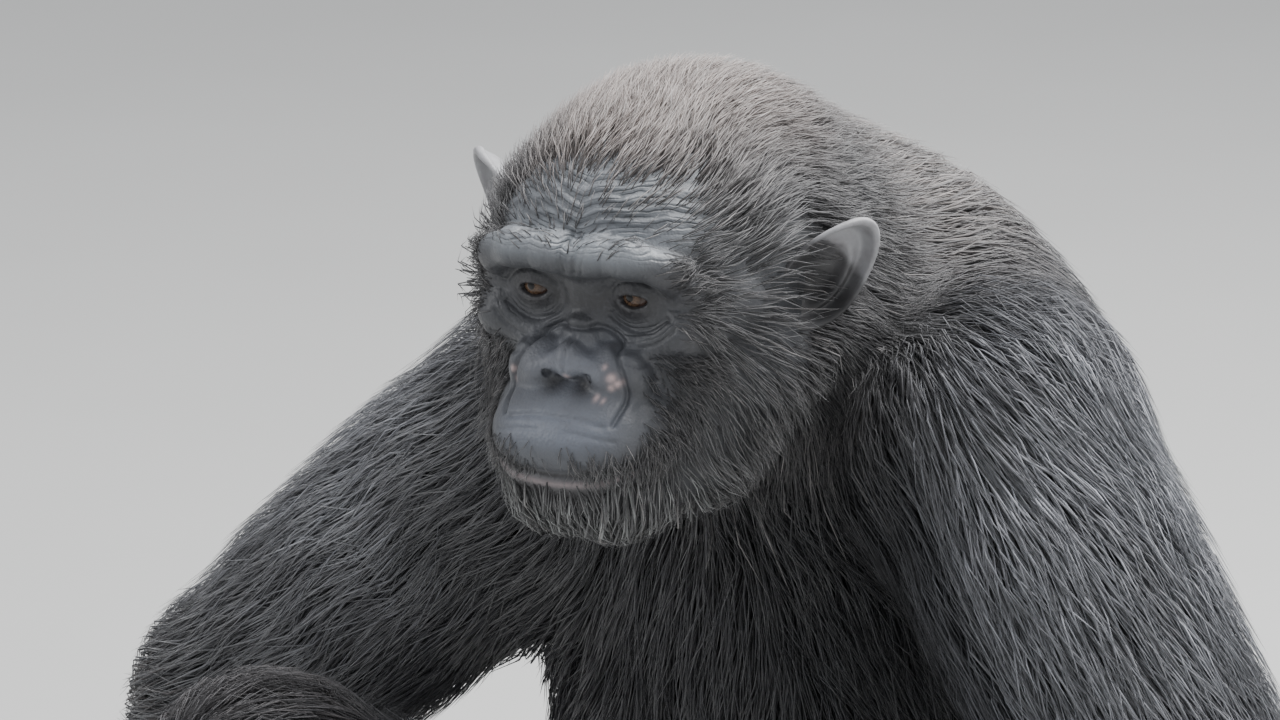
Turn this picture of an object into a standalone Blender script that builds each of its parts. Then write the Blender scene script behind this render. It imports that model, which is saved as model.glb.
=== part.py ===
"""A life-size seated chimpanzee: an adult male leaning forward with both arms braced on the ground.

The flesh is one smooth field, the blend of round bones and ellipsoids between named joints. Its surface,
raised by half the coat's depth, is cut at the joints into the body's parts, which meet face to face, and
tapered locks fused on it reach the coat's tips. Metres, +Z up, the face looks along -Y, +X is the animal's
left, and the floor is z = 0, with the origin at the centre of the rump's flat.
"""
import math

import bpy
import bmesh
import mathutils
import mathutils.bvhtree
import numpy as np

# driving dimensions, metres
EYES = np.array([0.0, -0.330, 0.600])   # the point midway between the pupils
HEAD_PITCH = math.radians(6)            # how far the face looks down
HIP = {1: (0.085, -0.030, 0.105), -1: (-0.085, -0.030, 0.105)}
KNEE = {1: (0.150, -0.295, 0.300), -1: (-0.225, -0.270, 0.290)}
ANKLE = {1: (0.170, -0.345, 0.062), -1: (-0.215, -0.325, 0.062)}
TOES = {1: (0.10, -0.995), -1: (-0.20, -0.980)}          # level direction in which each foot points
SHOULDER = {1: (0.148, -0.165, 0.500), -1: (-0.128, -0.120, 0.463)}
ELBOW = {1: (0.300, -0.215, 0.300), -1: (-0.333, -0.099, 0.289)}
WRIST = {1: (0.300, -0.410, 0.105), -1: (-0.350, -0.135, 0.080)}
FINGERS = {1: (0.10, -0.995), -1: (-0.45, -0.893)}      # level direction in which each hand points
SIDES = {1: "left", -1: "right"}
for joints in (HIP, KNEE, ANKLE, SHOULDER, ELBOW, WRIST):
    for side_key in joints:
        joints[side_key] = np.array(joints[side_key])

COAT = 0.022            # depth of the body's coat, from the flesh to the tips
HEAD_COAT = 0.015       # the same on the crown, nape and cheeks
GAP = 0.0003            # between neighbours
CUT_GAP = 0.0005        # the same where one body is cut from another, as corners move out less than faces
MOAT = 0.030            # least room left between the coats of two limbs
SOLE = 0.0020           # how much of the soles, knuckles and rump the floor flattens
EYE_RADIUS = 0.0120
EYE_PLACE = (0.028, 0.0115, 0.0)        # left eyeball's centre from the point between the eyes, y backward
NAPE = np.array([0.0, -0.120, 0.560])   # the coat of the trunk lies away from here
KNEE_DROP = 0.030       # the shin parts from the thigh this far below the knee
ANKLE_LIFT = np.array([0, 0, 0.012])   # and from the foot this far over the ankle
ARM_CUT = 0.20          # share of the upper arm that stays with the trunk
LEG_CUT = 0.42          # the same of the thigh
DRUM_SPARE = 0.03       # how far past the next joint the drum round a forearm or a shin goes
DRUM_RADIUS = {
    "hand": 0.085, "forearm": 0.085, "upper_arm": 0.105, "foot": 0.18, "shin": 0.080, "thigh": 0.096}
HEAD_EGG = ((0, -0.268, 0.595), (0.122, 0.127, 0.155))   # centre and radii of the cut behind the head
NECK_EGG = ((0.004, -0.190, 0.580), (0.138, 0.120, 0.122))
EAR_HEIGHT = 0.070
EAR_WIDTH = 0.052
EAR_THICK = 0.0045
EAR_ROOT = {1: (0.074, 0.065, -0.012), -1: (0.074, 0.065, 0.002)}   # x outward from the middle
RUFF = 0.010            # how much more coat there is beside the cheeks
BODY_CELL = 0.012       # grid on which each surface is found
HEAD_CELL = 0.003
LIMB_CELL = 0.0035
BODY_FACES = 2000       # triangles kept of each surface before it is cut
HEAD_FACES = 1900
HAND_FACES = 440
FOOT_FACES = 380

CORE = 0.5              # share of the coat's depth that the solid core under the locks fills
LOCKS = {               # length, width and spacing of the locks on each kind of part
    "head": (0.062, 0.040, 0.044), "neck": (0.080, 0.036, 0.045), "torso": (0.135, 0.070, 0.072),
    "upper_arm": (0.120, 0.054, 0.059), "forearm": (0.105, 0.046, 0.056), "thigh": (0.110, 0.058, 0.070),
    "shin": (0.095, 0.046, 0.056)}
STATIONS = (0.0, 0.30, 0.66, 1.0)            # where along a lock its sections stand
RISE = (0.15, 0.88, 1.02, 1.08)              # their height over the flesh, in coat depths
GIRTH = (0.60, 1.0, 0.72, 0.0)               # their width, in lock widths
LOCK_THICK = 0.18                            # thickness of a lock at its widest, in coat depths
ROOT_PICKS = 4000                            # places among which each lock's root is chosen
THIN_COAT = 0.007                            # no locks where the coat is less deep than this
ROOT_BAND = 0.006                            # roots stand on faces this near to the core's true level
TRUNK_REACH = 0.06                           # how far the trunk's locks may lie over an arm or a thigh
LOCK_LOWEST = 0.004                          # no lock reaches nearer to the floor
LOCK_CLEAR = 0.030                           # a lock this near to a fault in the fused surface is left out

REST_BAND = 0.0010      # points of a form lower than this are set on the floor
WELD = 5e-7             # points nearer than this count as one when a surface is tested
# distances at which points are merged and thin faces taken out, tried in turn on a cut surface
TIDY_STEPS = ((1e-6, 1e-6), (1e-6, 2e-7), (2e-6, 2e-7), (2e-7, 1e-6), (0, 0))
PIECE_NEAR = 0.12       # a cut part comes at least this near to its named point
MM = 0.001


def vec(*numbers):
    return np.array(numbers, float)


def unit(v):
    return np.asarray(v, float) / np.linalg.norm(v)


def length(v):
    return np.sqrt((v * v).sum(-1))


def ball(p, centre, radii):
    """Nearly the distance to an ellipsoid: its scaled radius less one, over that quantity's own slope."""
    q = p - centre
    scaled = length(q / radii)
    slope = length(q / np.square(radii)) + 1e-9
    return scaled * (scaled - 1) / slope


def bone(p, start, end, start_radius, end_radius):
    """Distance to a rod whose radius goes evenly from one end's to the other's."""
    line = np.subtract(end, start)
    along = np.clip(((p - start) @ line) / (line @ line), 0, 1)
    radius = start_radius + (end_radius - start_radius) * along
    return length(p - start - along[..., None] * line) - radius


def blend(a, b, soft):
    """The nearer of two distances, rounded where they are closer than soft to each other."""
    h = np.maximum(soft - np.abs(a - b), 0) / soft
    return np.minimum(a, b) - h * h * soft / 4


def carve(a, b, soft):
    """Form a with form b taken from it."""
    return -blend(-a, b, soft)


def chain(p, points, radii, soft):
    """Rods end to end through the points, one radius a point."""
    d = bone(p, points[0], points[1], radii[0], radii[1])
    for i in range(1, len(points) - 1):
        d = blend(d, bone(p, points[i], points[i + 1], radii[i], radii[i + 1]), soft)
    return d


def ramp(x, low, high):
    """0 up to low, 1 from high on, and smooth between."""
    t = np.clip((x - low) / (high - low), 0, 1)
    return t * t * (3 - 2 * t)


def to_head(p):
    """World points in the head's own frame: x to its left, y backward, z up, from between the eyes."""
    q = p - EYES
    c, s = math.cos(HEAD_PITCH), math.sin(HEAD_PITCH)
    return np.stack([q[..., 0], q[..., 1] * c + q[..., 2] * s, q[..., 2] * c - q[..., 1] * s], -1)


def from_head(q):
    """Points of the head's own frame in the world."""
    q = np.asarray(q, float)
    c, s = math.cos(HEAD_PITCH), math.sin(HEAD_PITCH)
    return EYES + np.stack([q[..., 0], q[..., 1] * c - q[..., 2] * s, q[..., 2] * c + q[..., 1] * s], -1)


def head(p):
    """Skull, face, muzzle and jaw in millimetres, both halves alike: x is the distance from the middle."""
    q = to_head(p) / MM
    m = np.stack([np.sqrt(q[..., 0] ** 2 + 0.5), q[..., 1], q[..., 2]], -1)
    d = ball(m, vec(0, 88, 9), (68, 90, 63))
    d = blend(d, ball(m, vec(0, 34, 26), (42, 36, 32)), 20)
    d = blend(d, ball(m, vec(38, 62, -6), (38, 58, 48)), 20)
    d = blend(d, ball(m, vec(0, 124, -16), (66, 68, 72)), 20)
    d = blend(d, ball(m, vec(0, 30, -26), (54, 34, 50)), 12)
    upper_jaw = ball(m, vec(17, 12, -70), (35, 56, 33))
    lower_jaw = ball(m, vec(13, 19, -94), (30, 56, 25))
    d = blend(blend(d, upper_jaw, 12), lower_jaw, 8)
    mid_jaws = blend(ball(m, vec(0, 11, -70), (30, 56.5, 32)), ball(m, vec(0, 17, -94), (27, 56, 25)), 6)
    d = blend(d, mid_jaws, 8)
    d = blend(d, chain(m, [vec(20, -6, -104), vec(46, 32, -90), vec(62, 74, -52)], (13, 19, 22), 8), 16)
    cheek_bone = chain(m, [vec(30, 4, -27), vec(52, 10, -19), vec(68, 40, -12)], (8, 12, 12), 6)
    d = blend(d, cheek_bone, 12)
    d = blend(d, ball(m, vec(46, 42, -48), (26, 34, 40)), 14)
    brow = chain(m, [vec(0, -7, 19), vec(13, -10, 23.5), vec(32, -10, 24.5), vec(48, -1, 17), vec(56, 12, 2)],
                 (8.5, 9, 9.5, 8.5, 7), 6)
    d = blend(d, brow, 7)
    d = carve(d, ball(m, vec(28, -6, -3), (19, 12, 14)), 7)
    nose = blend(ball(m, vec(21, -8, -40), (18.5, 14, 18)), ball(m, vec(0, -4, -21), (10, 10, 12)), 8)
    nose = blend(nose, ball(m, vec(0, -18, -29), (7.5, 9.5, 10)), 4)
    nose = blend(nose, chain(m, [vec(8, -18, -31), vec(19, -18, -37), vec(25, -14, -46)], (5, 5, 4), 3), 5)
    d = blend(d, nose, 4)
    d = carve(d, chain(m, [vec(7, -24, -39), vec(12, -22, -39.5)], (4.0, 4.2), 1), 1.5)
    lids = ball(m, vec(28, 11.5, 0), (15.5, 15.5, 14.5))
    d = blend(d, lids, 7)
    d = carve(d, ball(m, vec(28.3, -6, -0.5), (8.2, 13, 4.0)), 1.2)
    mouth = chain(m, [vec(0, -44, -82.5), vec(22, -43, -81.5), vec(40, -30, -77), vec(47, -18, -76)],
                  (1.8, 1.8, 1.6, 1.2), 1)
    lip = chain(m, [vec(0, -37, -89), vec(22, -35, -87.5), vec(38, -23, -82)], (4.5, 4.3, 3.2), 2)
    return carve(blend(d, lip, 4), mouth, 3) * MM


def torso(p):
    d = ball(p, vec(0.0, 0.0, 0.115), (0.135, 0.120, 0.115 + SOLE))
    d = blend(d, ball(p, vec(-0.003, -0.03, 0.25), (0.143, 0.120, 0.13)), 0.06)
    d = blend(d, ball(p, vec(0.002, -0.045, 0.38), (0.158, 0.120, 0.13)), 0.06)
    girdle = bone(p, SHOULDER[-1] + vec(0.03, 0.02, 0.0), SHOULDER[1] + vec(-0.03, 0.04, 0.0), 0.060, 0.062)
    d = blend(d, girdle, 0.06)
    return blend(d, ball(p, vec(0.015, -0.050, 0.490), (0.125, 0.092, 0.082)), 0.05)


def neck(p):
    """From the shoulders' hump to the back of the skull."""
    return bone(p, vec(0.012, -0.085, 0.530), vec(0, -0.205, 0.598), 0.088, 0.078)


def arm(p, side):
    """Upper arm, forearm and hand of one side."""
    a, b, c = SHOULDER[side], ELBOW[side], WRIST[side]
    upper = bone(p, a, b, 0.060, 0.042)
    upper = blend(upper, bone(p, a + 0.3 * (b - a), a + 0.7 * (b - a), 0.052, 0.046), 0.03)
    lower = bone(p, b, c, 0.041, 0.026)
    lower = blend(lower, bone(p, b + 0.12 * (c - b), b + 0.5 * (c - b), 0.043, 0.034), 0.03)
    return blend(blend(upper, lower, 0.02), hand(p, side), 0.012)


def hand(p, side):
    """A palm and four fingers laid on the floor, one chain a finger, with the thumb beside them."""
    wrist = WRIST[side]
    ahead = vec(*FINGERS[side], 0)
    out = vec(-ahead[1], ahead[0], 0) * side
    base = vec(wrist[0], wrist[1], 0) + 0.062 * ahead
    d = None
    for i, reach in enumerate((-0.006, 0.004, 0.006, 0.0)):
        aside = out * (i - 1.5) * 0.0225
        root = base + aside * 0.9 + ahead * reach + vec(0, 0, 0.034)
        middle = root + ahead * 0.040 + aside * 0.28 + vec(0, 0, -0.014)
        tip = middle + ahead * 0.034 + aside * 0.22 + vec(0, 0, -0.0125 + SOLE * 0.5)
        palm = bone(p, wrist + aside * 0.4 + vec(0, 0, -0.012), root, 0.017, 0.014)
        finger = blend(chain(p, [root, middle, tip], (0.0125, 0.0115, 0.0095), 0.004), palm, 0.010)
        d = finger if d is None else blend(d, finger, 0.006)
    thumb_root = wrist - out * 0.016 + ahead * 0.010 + vec(0, 0, -0.020)
    thumb_joint = base - out * 0.040 - ahead * 0.010 + vec(0, 0, 0.022)
    thumb_tip = base - out * 0.050 + ahead * 0.022 + vec(0, 0, 0.012)
    return blend(d, chain(p, [thumb_root, thumb_joint, thumb_tip], (0.013, 0.0115, 0.0085), 0.004), 0.010)


def leg(p, side):
    """Thigh, shin and foot of one side."""
    a, b, c = HIP[side], KNEE[side], ANKLE[side]
    upper = bone(p, a, b, 0.080, 0.049)
    lower = blend(bone(p, b, c, 0.048, 0.029),
                  bone(p, b + 0.2 * (c - b), b + 0.5 * (c - b), 0.046, 0.040), 0.02)
    return blend(blend(upper, lower, 0.02), foot(p, side), 0.015)


def foot(p, side):
    """Heel, sole and four toes on the floor, with the big toe standing off toward the other foot."""
    ankle = ANKLE[side]
    ahead = vec(*TOES[side], 0)
    inward = vec(ahead[1], -ahead[0], 0) * side
    flat = vec(ankle[0], ankle[1], 0)
    heel_z, sole_z = 0.028 - SOLE, 0.024 - SOLE
    d = bone(p, flat - ahead * 0.035 + vec(0, 0, heel_z), ankle + vec(0, 0, -0.010), 0.028, 0.028)
    ball_of_foot = flat + ahead * 0.085 + vec(0, 0, sole_z)
    arch = bone(p, flat - ahead * 0.02 + vec(0, 0, 0.030), ball_of_foot, 0.030, 0.024)
    d = blend(d, arch, 0.02)
    for i, reach in enumerate((0.0, 0.002, 0.0, -0.008)):
        aside = (i - 1.5) * 0.021
        root = flat + ahead * (0.085 + reach) - inward * (aside + 0.004) + vec(0, 0, 0.024 - SOLE)
        middle = root + ahead * 0.036 - inward * aside * 0.25 + vec(0, 0, -0.006)
        tip = middle + ahead * 0.026 + vec(0, 0, -0.008)
        d = blend(d, chain(p, [root, middle, tip], (0.0140, 0.0110, 0.0095), 0.004), 0.007)
    toe = [flat + ahead * 0.020 + inward * 0.018 + vec(0, 0, 0.022),
           flat + ahead * 0.062 + inward * 0.052 + vec(0, 0, 0.015),
           flat + ahead * 0.092 + inward * 0.062 + vec(0, 0, 0.011)]
    return blend(d, chain(p, toe, (0.019, 0.0150, 0.0120), 0.004), 0.012)


def forms(p):
    """Distances to the four limbs, arms first, then to the whole animal with every limb blended in."""
    trunk = blend(blend(torso(p), neck(p), 0.06), head(p), 0.03)
    limbs = [arm(p, side) for side in SIDES] + [leg(p, side) for side in SIDES]
    whole = trunk
    for limb, soft in zip(limbs, (0.05, 0.05, 0.04, 0.04)):
        whole = np.minimum(whole, blend(trunk, limb, soft))
    return np.stack(limbs), whole


def coat_depth(p, limbs):
    """Depth of the coat: none on the face, palms and soles, thin on the head, full on the body and limbs, and
    never more than leaves the moat between two limbs."""
    q = to_head(p) / MM
    depth = np.full(p.shape[:-1], COAT)
    near_head = 1 - ramp(q[..., 1] - 0.35 * q[..., 2], 95, 175)
    face = np.sqrt((q[..., 0] / 60) ** 2 + ((q[..., 2] + 20) / 66) ** 2)
    bare = (1 - ramp(face, 0.85, 1.35)) * (1 - ramp(q[..., 1], 18, 60))
    bare = np.maximum(bare, 0.3 * (1 - ramp(q[..., 1], -10, 40)) * (1 - ramp(-q[..., 2], 118, 150)))
    ruff = RUFF * np.exp(-((q[..., 2] + 25) / 45) ** 2) * ramp(np.abs(q[..., 0]), 35, 70)
    ruff = ruff * (1 - ramp(q[..., 1], 70, 110))
    depth = depth + near_head * ((HEAD_COAT + ruff) * (1 - bare) - depth)
    for side in SIDES:
        for joint, before in ((WRIST[side], ELBOW[side]), (ANKLE[side], KNEE[side])):
            along = unit(joint - before)
            past = (p - joint) @ along
            close = 1 - ramp(length(p - joint), 0.13, 0.17)
            shrink = ramp(past, -0.075, 0.012) * close
            depth = depth * (1 - shrink)
    nearest, second = np.sort(limbs, 0)[:2]
    return np.minimum(depth, np.maximum(0.5 * (nearest + second - MOAT), 0))


def coated(share, limb=None):
    """The field of the surface that lies a share of the coat's depth over the flesh, flat on the floor: the
    whole animal's, or one limb's by its number."""
    def field(p):
        limbs, whole = forms(p)
        form = whole if limb is None else limbs[limb]
        return np.maximum(form - share * coat_depth(p, limbs), -p[..., 2])
    return field


def surface(field, low, high, cell):
    """Triangles where the field is zero.

    Each grid cube is six tetrahedra round its long diagonal, and each of those that the zero crosses gives one
    or two triangles with their corners on its edges, so the result is always closed and never touches itself.
    The box's own walls close what would leave it.
    """
    axes = [np.arange(a, b + cell, cell) for a, b in zip(low, high)]
    shape = tuple(len(axis) for axis in axes)
    value = np.empty(shape)
    sheet = np.stack(np.meshgrid(axes[1], axes[2], indexing="ij"), -1).reshape(-1, 2)
    for i, x in enumerate(axes[0]):
        value[i] = field(np.concatenate([np.full((len(sheet), 1), x), sheet], 1)).reshape(shape[1:])
    value[[0, -1]] = cell
    value[:, [0, -1]] = cell
    value[:, :, [0, -1]] = cell
    value = value.ravel()
    stride = np.array([shape[1] * shape[2], shape[2], 1])
    steps = [np.arange(n - 1) for n in shape]
    cubes = np.stack(np.meshgrid(*steps, indexing="ij"), -1).reshape(-1, 3) @ stride
    corners = value[cubes[:, None] + [stride @ (k & 1, k >> 1 & 1, k >> 2) for k in range(8)]] < 0
    cubes = cubes[corners.any(1) & ~corners.all(1)]
    grid = np.stack(np.meshgrid(*axes, indexing="ij"), -1).reshape(-1, 3)
    pairs = []
    for first, second in ((0, 1), (0, 2), (1, 0), (1, 2), (2, 0), (2, 1)):
        tetra = cubes[:, None] + [0, stride[first], stride[first] + stride[second], stride.sum()]
        inside = value[tetra] < 0
        many = inside.sum(1)
        tetra = np.take_along_axis(tetra, np.argsort(~inside, axis=1, kind="stable"), 1)
        for n, triangles in ((1, [((0, 1), (0, 2), (0, 3))]), (3, [((3, 0), (3, 1), (3, 2))]),
                             (2, [((0, 2), (0, 3), (1, 3)), ((0, 2), (1, 3), (1, 2))])):
            chosen = tetra[many == n]
            outward = grid[chosen[:, n:]].mean(1) - grid[chosen[:, :n]].mean(1)
            for triangle in triangles:
                ends = np.sort(np.stack([chosen[:, list(edge)] for edge in triangle], 1), -1)
                v0, v1 = value[ends[..., 0]], value[ends[..., 1]]
                t = np.clip(v0 / (v0 - v1), 0.03, 0.97)[..., None]
                spots = grid[ends[..., 0]] * (1 - t) + grid[ends[..., 1]] * t
                normal = np.cross(spots[:, 1] - spots[:, 0], spots[:, 2] - spots[:, 0])
                wrong = (normal * outward).sum(1) < 0
                ends[wrong] = ends[wrong][:, ::-1]
                pairs.append(ends)
    ends = np.concatenate(pairs)
    keys, faces = np.unique(ends[..., 0] * value.size + ends[..., 1], return_inverse=True)
    start, end = keys // value.size, keys % value.size
    t = np.clip(value[start] / (value[start] - value[end]), 0.03, 0.97)[:, None]
    return grid[start] * (1 - t) + grid[end] * t, faces.reshape(-1, 3)


def gradient(field, p, step=0.0015):
    """Unit direction in which the field grows fastest."""
    g = np.stack([field(p + step * axis) - field(p - step * axis) for axis in np.eye(3)], -1)
    return g / (length(g)[..., None] + 1e-9)


def lie(p, normal, kind):
    """Direction along the skin in which the coat of this kind of part lies.

    It is away from the nape over the trunk, down the upper arms and legs, up the forearms to the elbows, and
    back over the head from the face, each weighed by exp(-distance to that form / spread).
    """
    spread = 0.018
    weights, ways = [], []
    if kind in ("neck", "torso", "upper_arm", "thigh"):
        weights.append(np.exp(-torso(p) / spread))
        ways.append(p - NAPE)
    if kind in ("head", "neck"):
        weights.append(np.exp(-neck(p) / spread))
        ways.append(np.broadcast_to(vec(0, 0.9, -0.45), p.shape))
        back = to_head(p) / MM - vec(0, -10, -5)
        back[..., 2] -= 0.8 * ramp(-back[..., 2], -15, 65) * (50 + back[..., 1])
        weights.append(np.exp(-head(p) / spread))
        ways.append(from_head(back) - EYES)
    lengths = (("upper_arm", SHOULDER, ELBOW, 0.052, 1), ("forearm", ELBOW, WRIST, 0.036, -1),
               ("thigh", HIP, KNEE, 0.062, 1), ("shin", KNEE, ANKLE, 0.042, 1))
    flows_on = {"torso": ("upper_arm", "thigh"), "thigh": ("thigh", "shin"), "shin": ("thigh", "shin")}
    for name, start, end, radius, sense in lengths:
        if name in flows_on.get(kind, (kind,)):
            for side in SIDES:
                weights.append(np.exp(-bone(p, start[side], end[side], radius, radius) / spread))
                ways.append(np.broadcast_to(sense * (end[side] - start[side]), p.shape))
    total = np.zeros(p.shape)
    for weight, way in zip(weights, ways):
        total = total + weight[..., None] * way / (length(way)[..., None] + 1e-9)
    total = total - (total * normal).sum(-1)[..., None] * normal
    return total / (length(total)[..., None] + 1e-9)


def spread_over(mesh, spacing, random):
    """Points on a mesh's faces, each as far as can be from those before it, till none is spacing away."""
    count = len(mesh.polygons)
    areas = np.empty(count)
    mesh.polygons.foreach_get("area", areas)
    corners = np.empty(count * 3, int)
    mesh.polygons.foreach_get("vertices", corners)
    points = np.empty(len(mesh.vertices) * 3)
    mesh.vertices.foreach_get("co", points)
    triangles = points.reshape(-1, 3)[corners.reshape(-1, 3)]
    picks = random.choice(count, ROOT_PICKS, p=areas / areas.sum())
    u = np.sqrt(random.random((ROOT_PICKS, 1)))
    v = random.random((ROOT_PICKS, 1))
    a, b, c = triangles[picks].transpose(1, 0, 2)
    spots = a * (1 - u) + b * u * (1 - v) + c * u * v
    skin = coated(CORE)
    spots = spots[np.abs(skin(spots)) < ROOT_BAND]
    spots = spots[coat_depth(spots, forms(spots)[0]) > THIN_COAT]
    chosen = [0]
    away = length(spots - spots[0])
    while away.max() > spacing:
        chosen.append(int(away.argmax()))
        away = np.minimum(away, length(spots - spots[chosen[-1]]))
    return spots[chosen]


def lock_paths(roots, kind, reach, width, random):
    """Sections of the locks rooted at these points, as an array of locks, stations and four corners.

    A lock's middle line is traced step by step along the lie, and each section's corners stand at their own
    height over the flesh, so the lock wraps round the form it lies on and its tip rises clear.
    """
    def skin(p):
        return forms(p)[1]
    depth = coat_depth(roots, forms(roots)[0])[:, None]
    size = np.clip(depth / COAT, 0.45, 1) ** 0.5 * random.uniform(0.85, 1.12, (len(roots), 1))
    sway = random.normal(0, 0.10, (len(roots), 1))
    normal = gradient(skin, roots)
    place = roots + normal * (CORE * depth - skin(roots)[:, None])
    sections = []
    steps = np.diff((0.0,) + STATIONS)
    for station, step in enumerate(steps):
        normal = gradient(skin, place)
        way = lie(place, normal, kind)
        way = way + sway * np.cross(normal, way)
        place = place + way * step * reach * size
        normal = gradient(skin, place)
        aside = np.cross(normal, way)
        aside /= length(aside)[:, None]
        height = RISE[station] * depth
        place = place + normal * (height - skin(place)[:, None])
        half = 0.5 * GIRTH[station] * width * size
        thick = 0.5 * LOCK_THICK * depth * GIRTH[station]
        corners = []
        for over, up in ((-1, 0), (0, 1), (1, 0), (0, -1)):
            corner = place + over * half * aside
            if over:
                corner = corner + gradient(skin, corner) * (height - 0.25 * thick - skin(corner)[:, None])
            corners.append(corner + up * thick * normal)
        sections.append(np.stack(corners, 1))
    return np.stack(sections, 1)


def fits(name, sections, others):
    """Which locks stay over the floor, nearer to their own limb or the trunk than to any other limb, and clear
    of the other parts, given as search trees of their surfaces."""
    flat = sections.reshape(-1, 3)
    good = flat[:, 2] > LOCK_LOWEST
    limbs = forms(flat)[0]
    own = limb_of(name)
    trunk = np.minimum(np.minimum(torso(flat), neck(flat)), head(flat))
    mine = trunk if own is None else limbs[own]
    for number, other in enumerate(limbs):
        side = list(SIDES)[number % 2]
        start, end, share = (SHOULDER, ELBOW, ARM_CUT) if number < 2 else (HIP, KNEE, LEG_CUT)
        way = end[side] - start[side]
        if own is None:
            good &= (other > mine + GAP) | ((flat - start[side] - share * way) @ unit(way) < TRUNK_REACH)
        elif number != own:
            good &= other > mine + GAP
    if own is not None:
        good &= trunk > mine - COAT
    good = good.reshape(len(sections), -1).all(1)
    for number in np.flatnonzero(good):
        lock = tree_of(lock_mesh(sections[number]))
        good[number] = not any(lock.overlap(other) for other in others)
    return good


def tree_of(mesh):
    """A search tree of a mesh's surface."""
    shape = bmesh.new()
    shape.from_mesh(mesh)
    tree = mathutils.bvhtree.BVHTree.FromBMesh(shape)
    shape.free()
    return tree


def with_locks(name, core, others, random):
    """The part's core with its locks fused on.

    A lock that meets one of the others is tried shorter and narrower, and one whose edge only touches the rest
    is left out.
    """
    kind = kind_of(name)
    reach, width, spacing = LOCKS[kind]
    roots = spread_over(core, spacing, random)
    trees = [tree_of(grown(other, GAP)) for other in others]
    made = []
    for share in (1.0, 0.75, 0.5):
        if not len(roots):
            break
        sections = lock_paths(roots, kind, reach * share, width * (0.5 + 0.5 * share), random)
        clear = fits(name, sections, trees)
        made.extend(sections[clear])
        roots = roots[~clear]
    for _ in range(8):
        piece = largest(fused(core, made))
        faults = fault_spots(piece)
        if not faults:
            break
        made = [lock for lock in made if min(length(lock - spot).min() for spot in faults) > LOCK_CLEAR]
    return piece


def fault_spots(mesh):
    """Middles of the edges that don't have just two faces, once points nearer than WELD are merged."""
    shape = bmesh.new()
    shape.from_mesh(mesh)
    bmesh.ops.remove_doubles(shape, verts=shape.verts, dist=WELD)
    faulty = [edge for edge in shape.edges if len(edge.link_faces) != 2]
    spots = [vec(*(edge.verts[0].co + edge.verts[1].co) / 2) for edge in faulty]
    spots += [vec(*v.co) for v in shape.verts if not v.is_manifold]
    shape.free()
    return spots


def lock_mesh(section):
    """A closed four-sided taper through one lock's sections."""
    rows = len(STATIONS) - 1
    faces = [(3, 2, 1), (3, 1, 0)]
    for i in range(rows - 1):
        for j in range(4):
            k = (j + 1) % 4
            a, b, c, d = 4 * i + j, 4 * i + k, 4 * i + 4 + k, 4 * i + 4 + j
            faces += [(a, b, c), (a, c, d)]
    for j in range(4):
        faces.append((4 * rows - 4 + j, 4 * rows - 4 + (j + 1) % 4, 4 * rows))
    points = np.concatenate([section[:-1].reshape(-1, 3), section[-1].mean(0, keepdims=True)])
    if volume(points, faces) < 0:
        faces = [face[::-1] for face in faces]
    return new_mesh(points, faces)


def fused(core, made):
    """One union of the core with every lock."""
    locks = bpy.data.collections.new("locks")
    bpy.context.scene.collection.children.link(locks)
    for number, section in enumerate(made):
        locks.objects.link(bpy.data.objects.new(f"lock_{number}", lock_mesh(section)))
    whole = evaluated(core, [("BOOLEAN", {"operation": "UNION", "operand_type": "COLLECTION",
                                          "collection": locks, "solver": "MANIFOLD"})])
    for thing in list(locks.objects):
        bpy.data.objects.remove(thing)
    bpy.data.collections.remove(locks)
    return whole


def volume(points, faces):
    """Volume inside a closed surface, from the origin's cones over its triangles."""
    a, b, c = points[np.array(faces)].transpose(1, 0, 2)
    return (a * np.cross(b, c)).sum() / 6


def new_mesh(points, faces):
    mesh = bpy.data.meshes.new("form")
    mesh.from_pydata([tuple(p) for p in np.asarray(points).tolist()], [], [tuple(f) for f in faces])
    mesh.update()
    return mesh


def evaluated(mesh, modifiers):
    """A new mesh: this one with the modifiers applied. Each modifier is a type and its settings."""
    holder = bpy.data.objects.new("holder", mesh)
    bpy.context.scene.collection.objects.link(holder)
    for kind, settings in modifiers:
        modifier = holder.modifiers.new(kind, kind)
        for name, value in settings.items():
            setattr(modifier, name, value)
    shape = holder.evaluated_get(bpy.context.evaluated_depsgraph_get())
    result = bpy.data.meshes.new_from_object(shape)
    bpy.data.objects.remove(holder)
    return result


def thinned(mesh, faces):
    """The same surface with about this many triangles, each flat, and its rests all at the floor's level."""
    split = evaluated(mesh, [("TRIANGULATE", {})])
    share = min(1.0, faces / len(split.polygons))
    result = evaluated(split, [("DECIMATE", {"ratio": share, "use_collapse_triangulate": True})])
    for point in result.vertices:
        if point.co.z < REST_BAND:
            point.co.z = 0.0
    result.update()
    return result


def combined(mesh, other, operation):
    """Union, difference or intersection of two closed meshes."""
    tool = bpy.data.objects.new("tool", other)
    bpy.context.scene.collection.objects.link(tool)
    result = evaluated(mesh, [("BOOLEAN", {"operation": operation, "object": tool, "solver": "EXACT"})])
    bpy.data.objects.remove(tool)
    return result


def group_volume(faces):
    """The same of a closed group of a mesh's faces, as fans of triangles."""
    total = 0.0
    for face in faces:
        corners = [v.co for v in face.verts]
        for i in range(1, len(corners) - 1):
            total += corners[0].dot(corners[i].cross(corners[i + 1])) / 6
    return total


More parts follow.
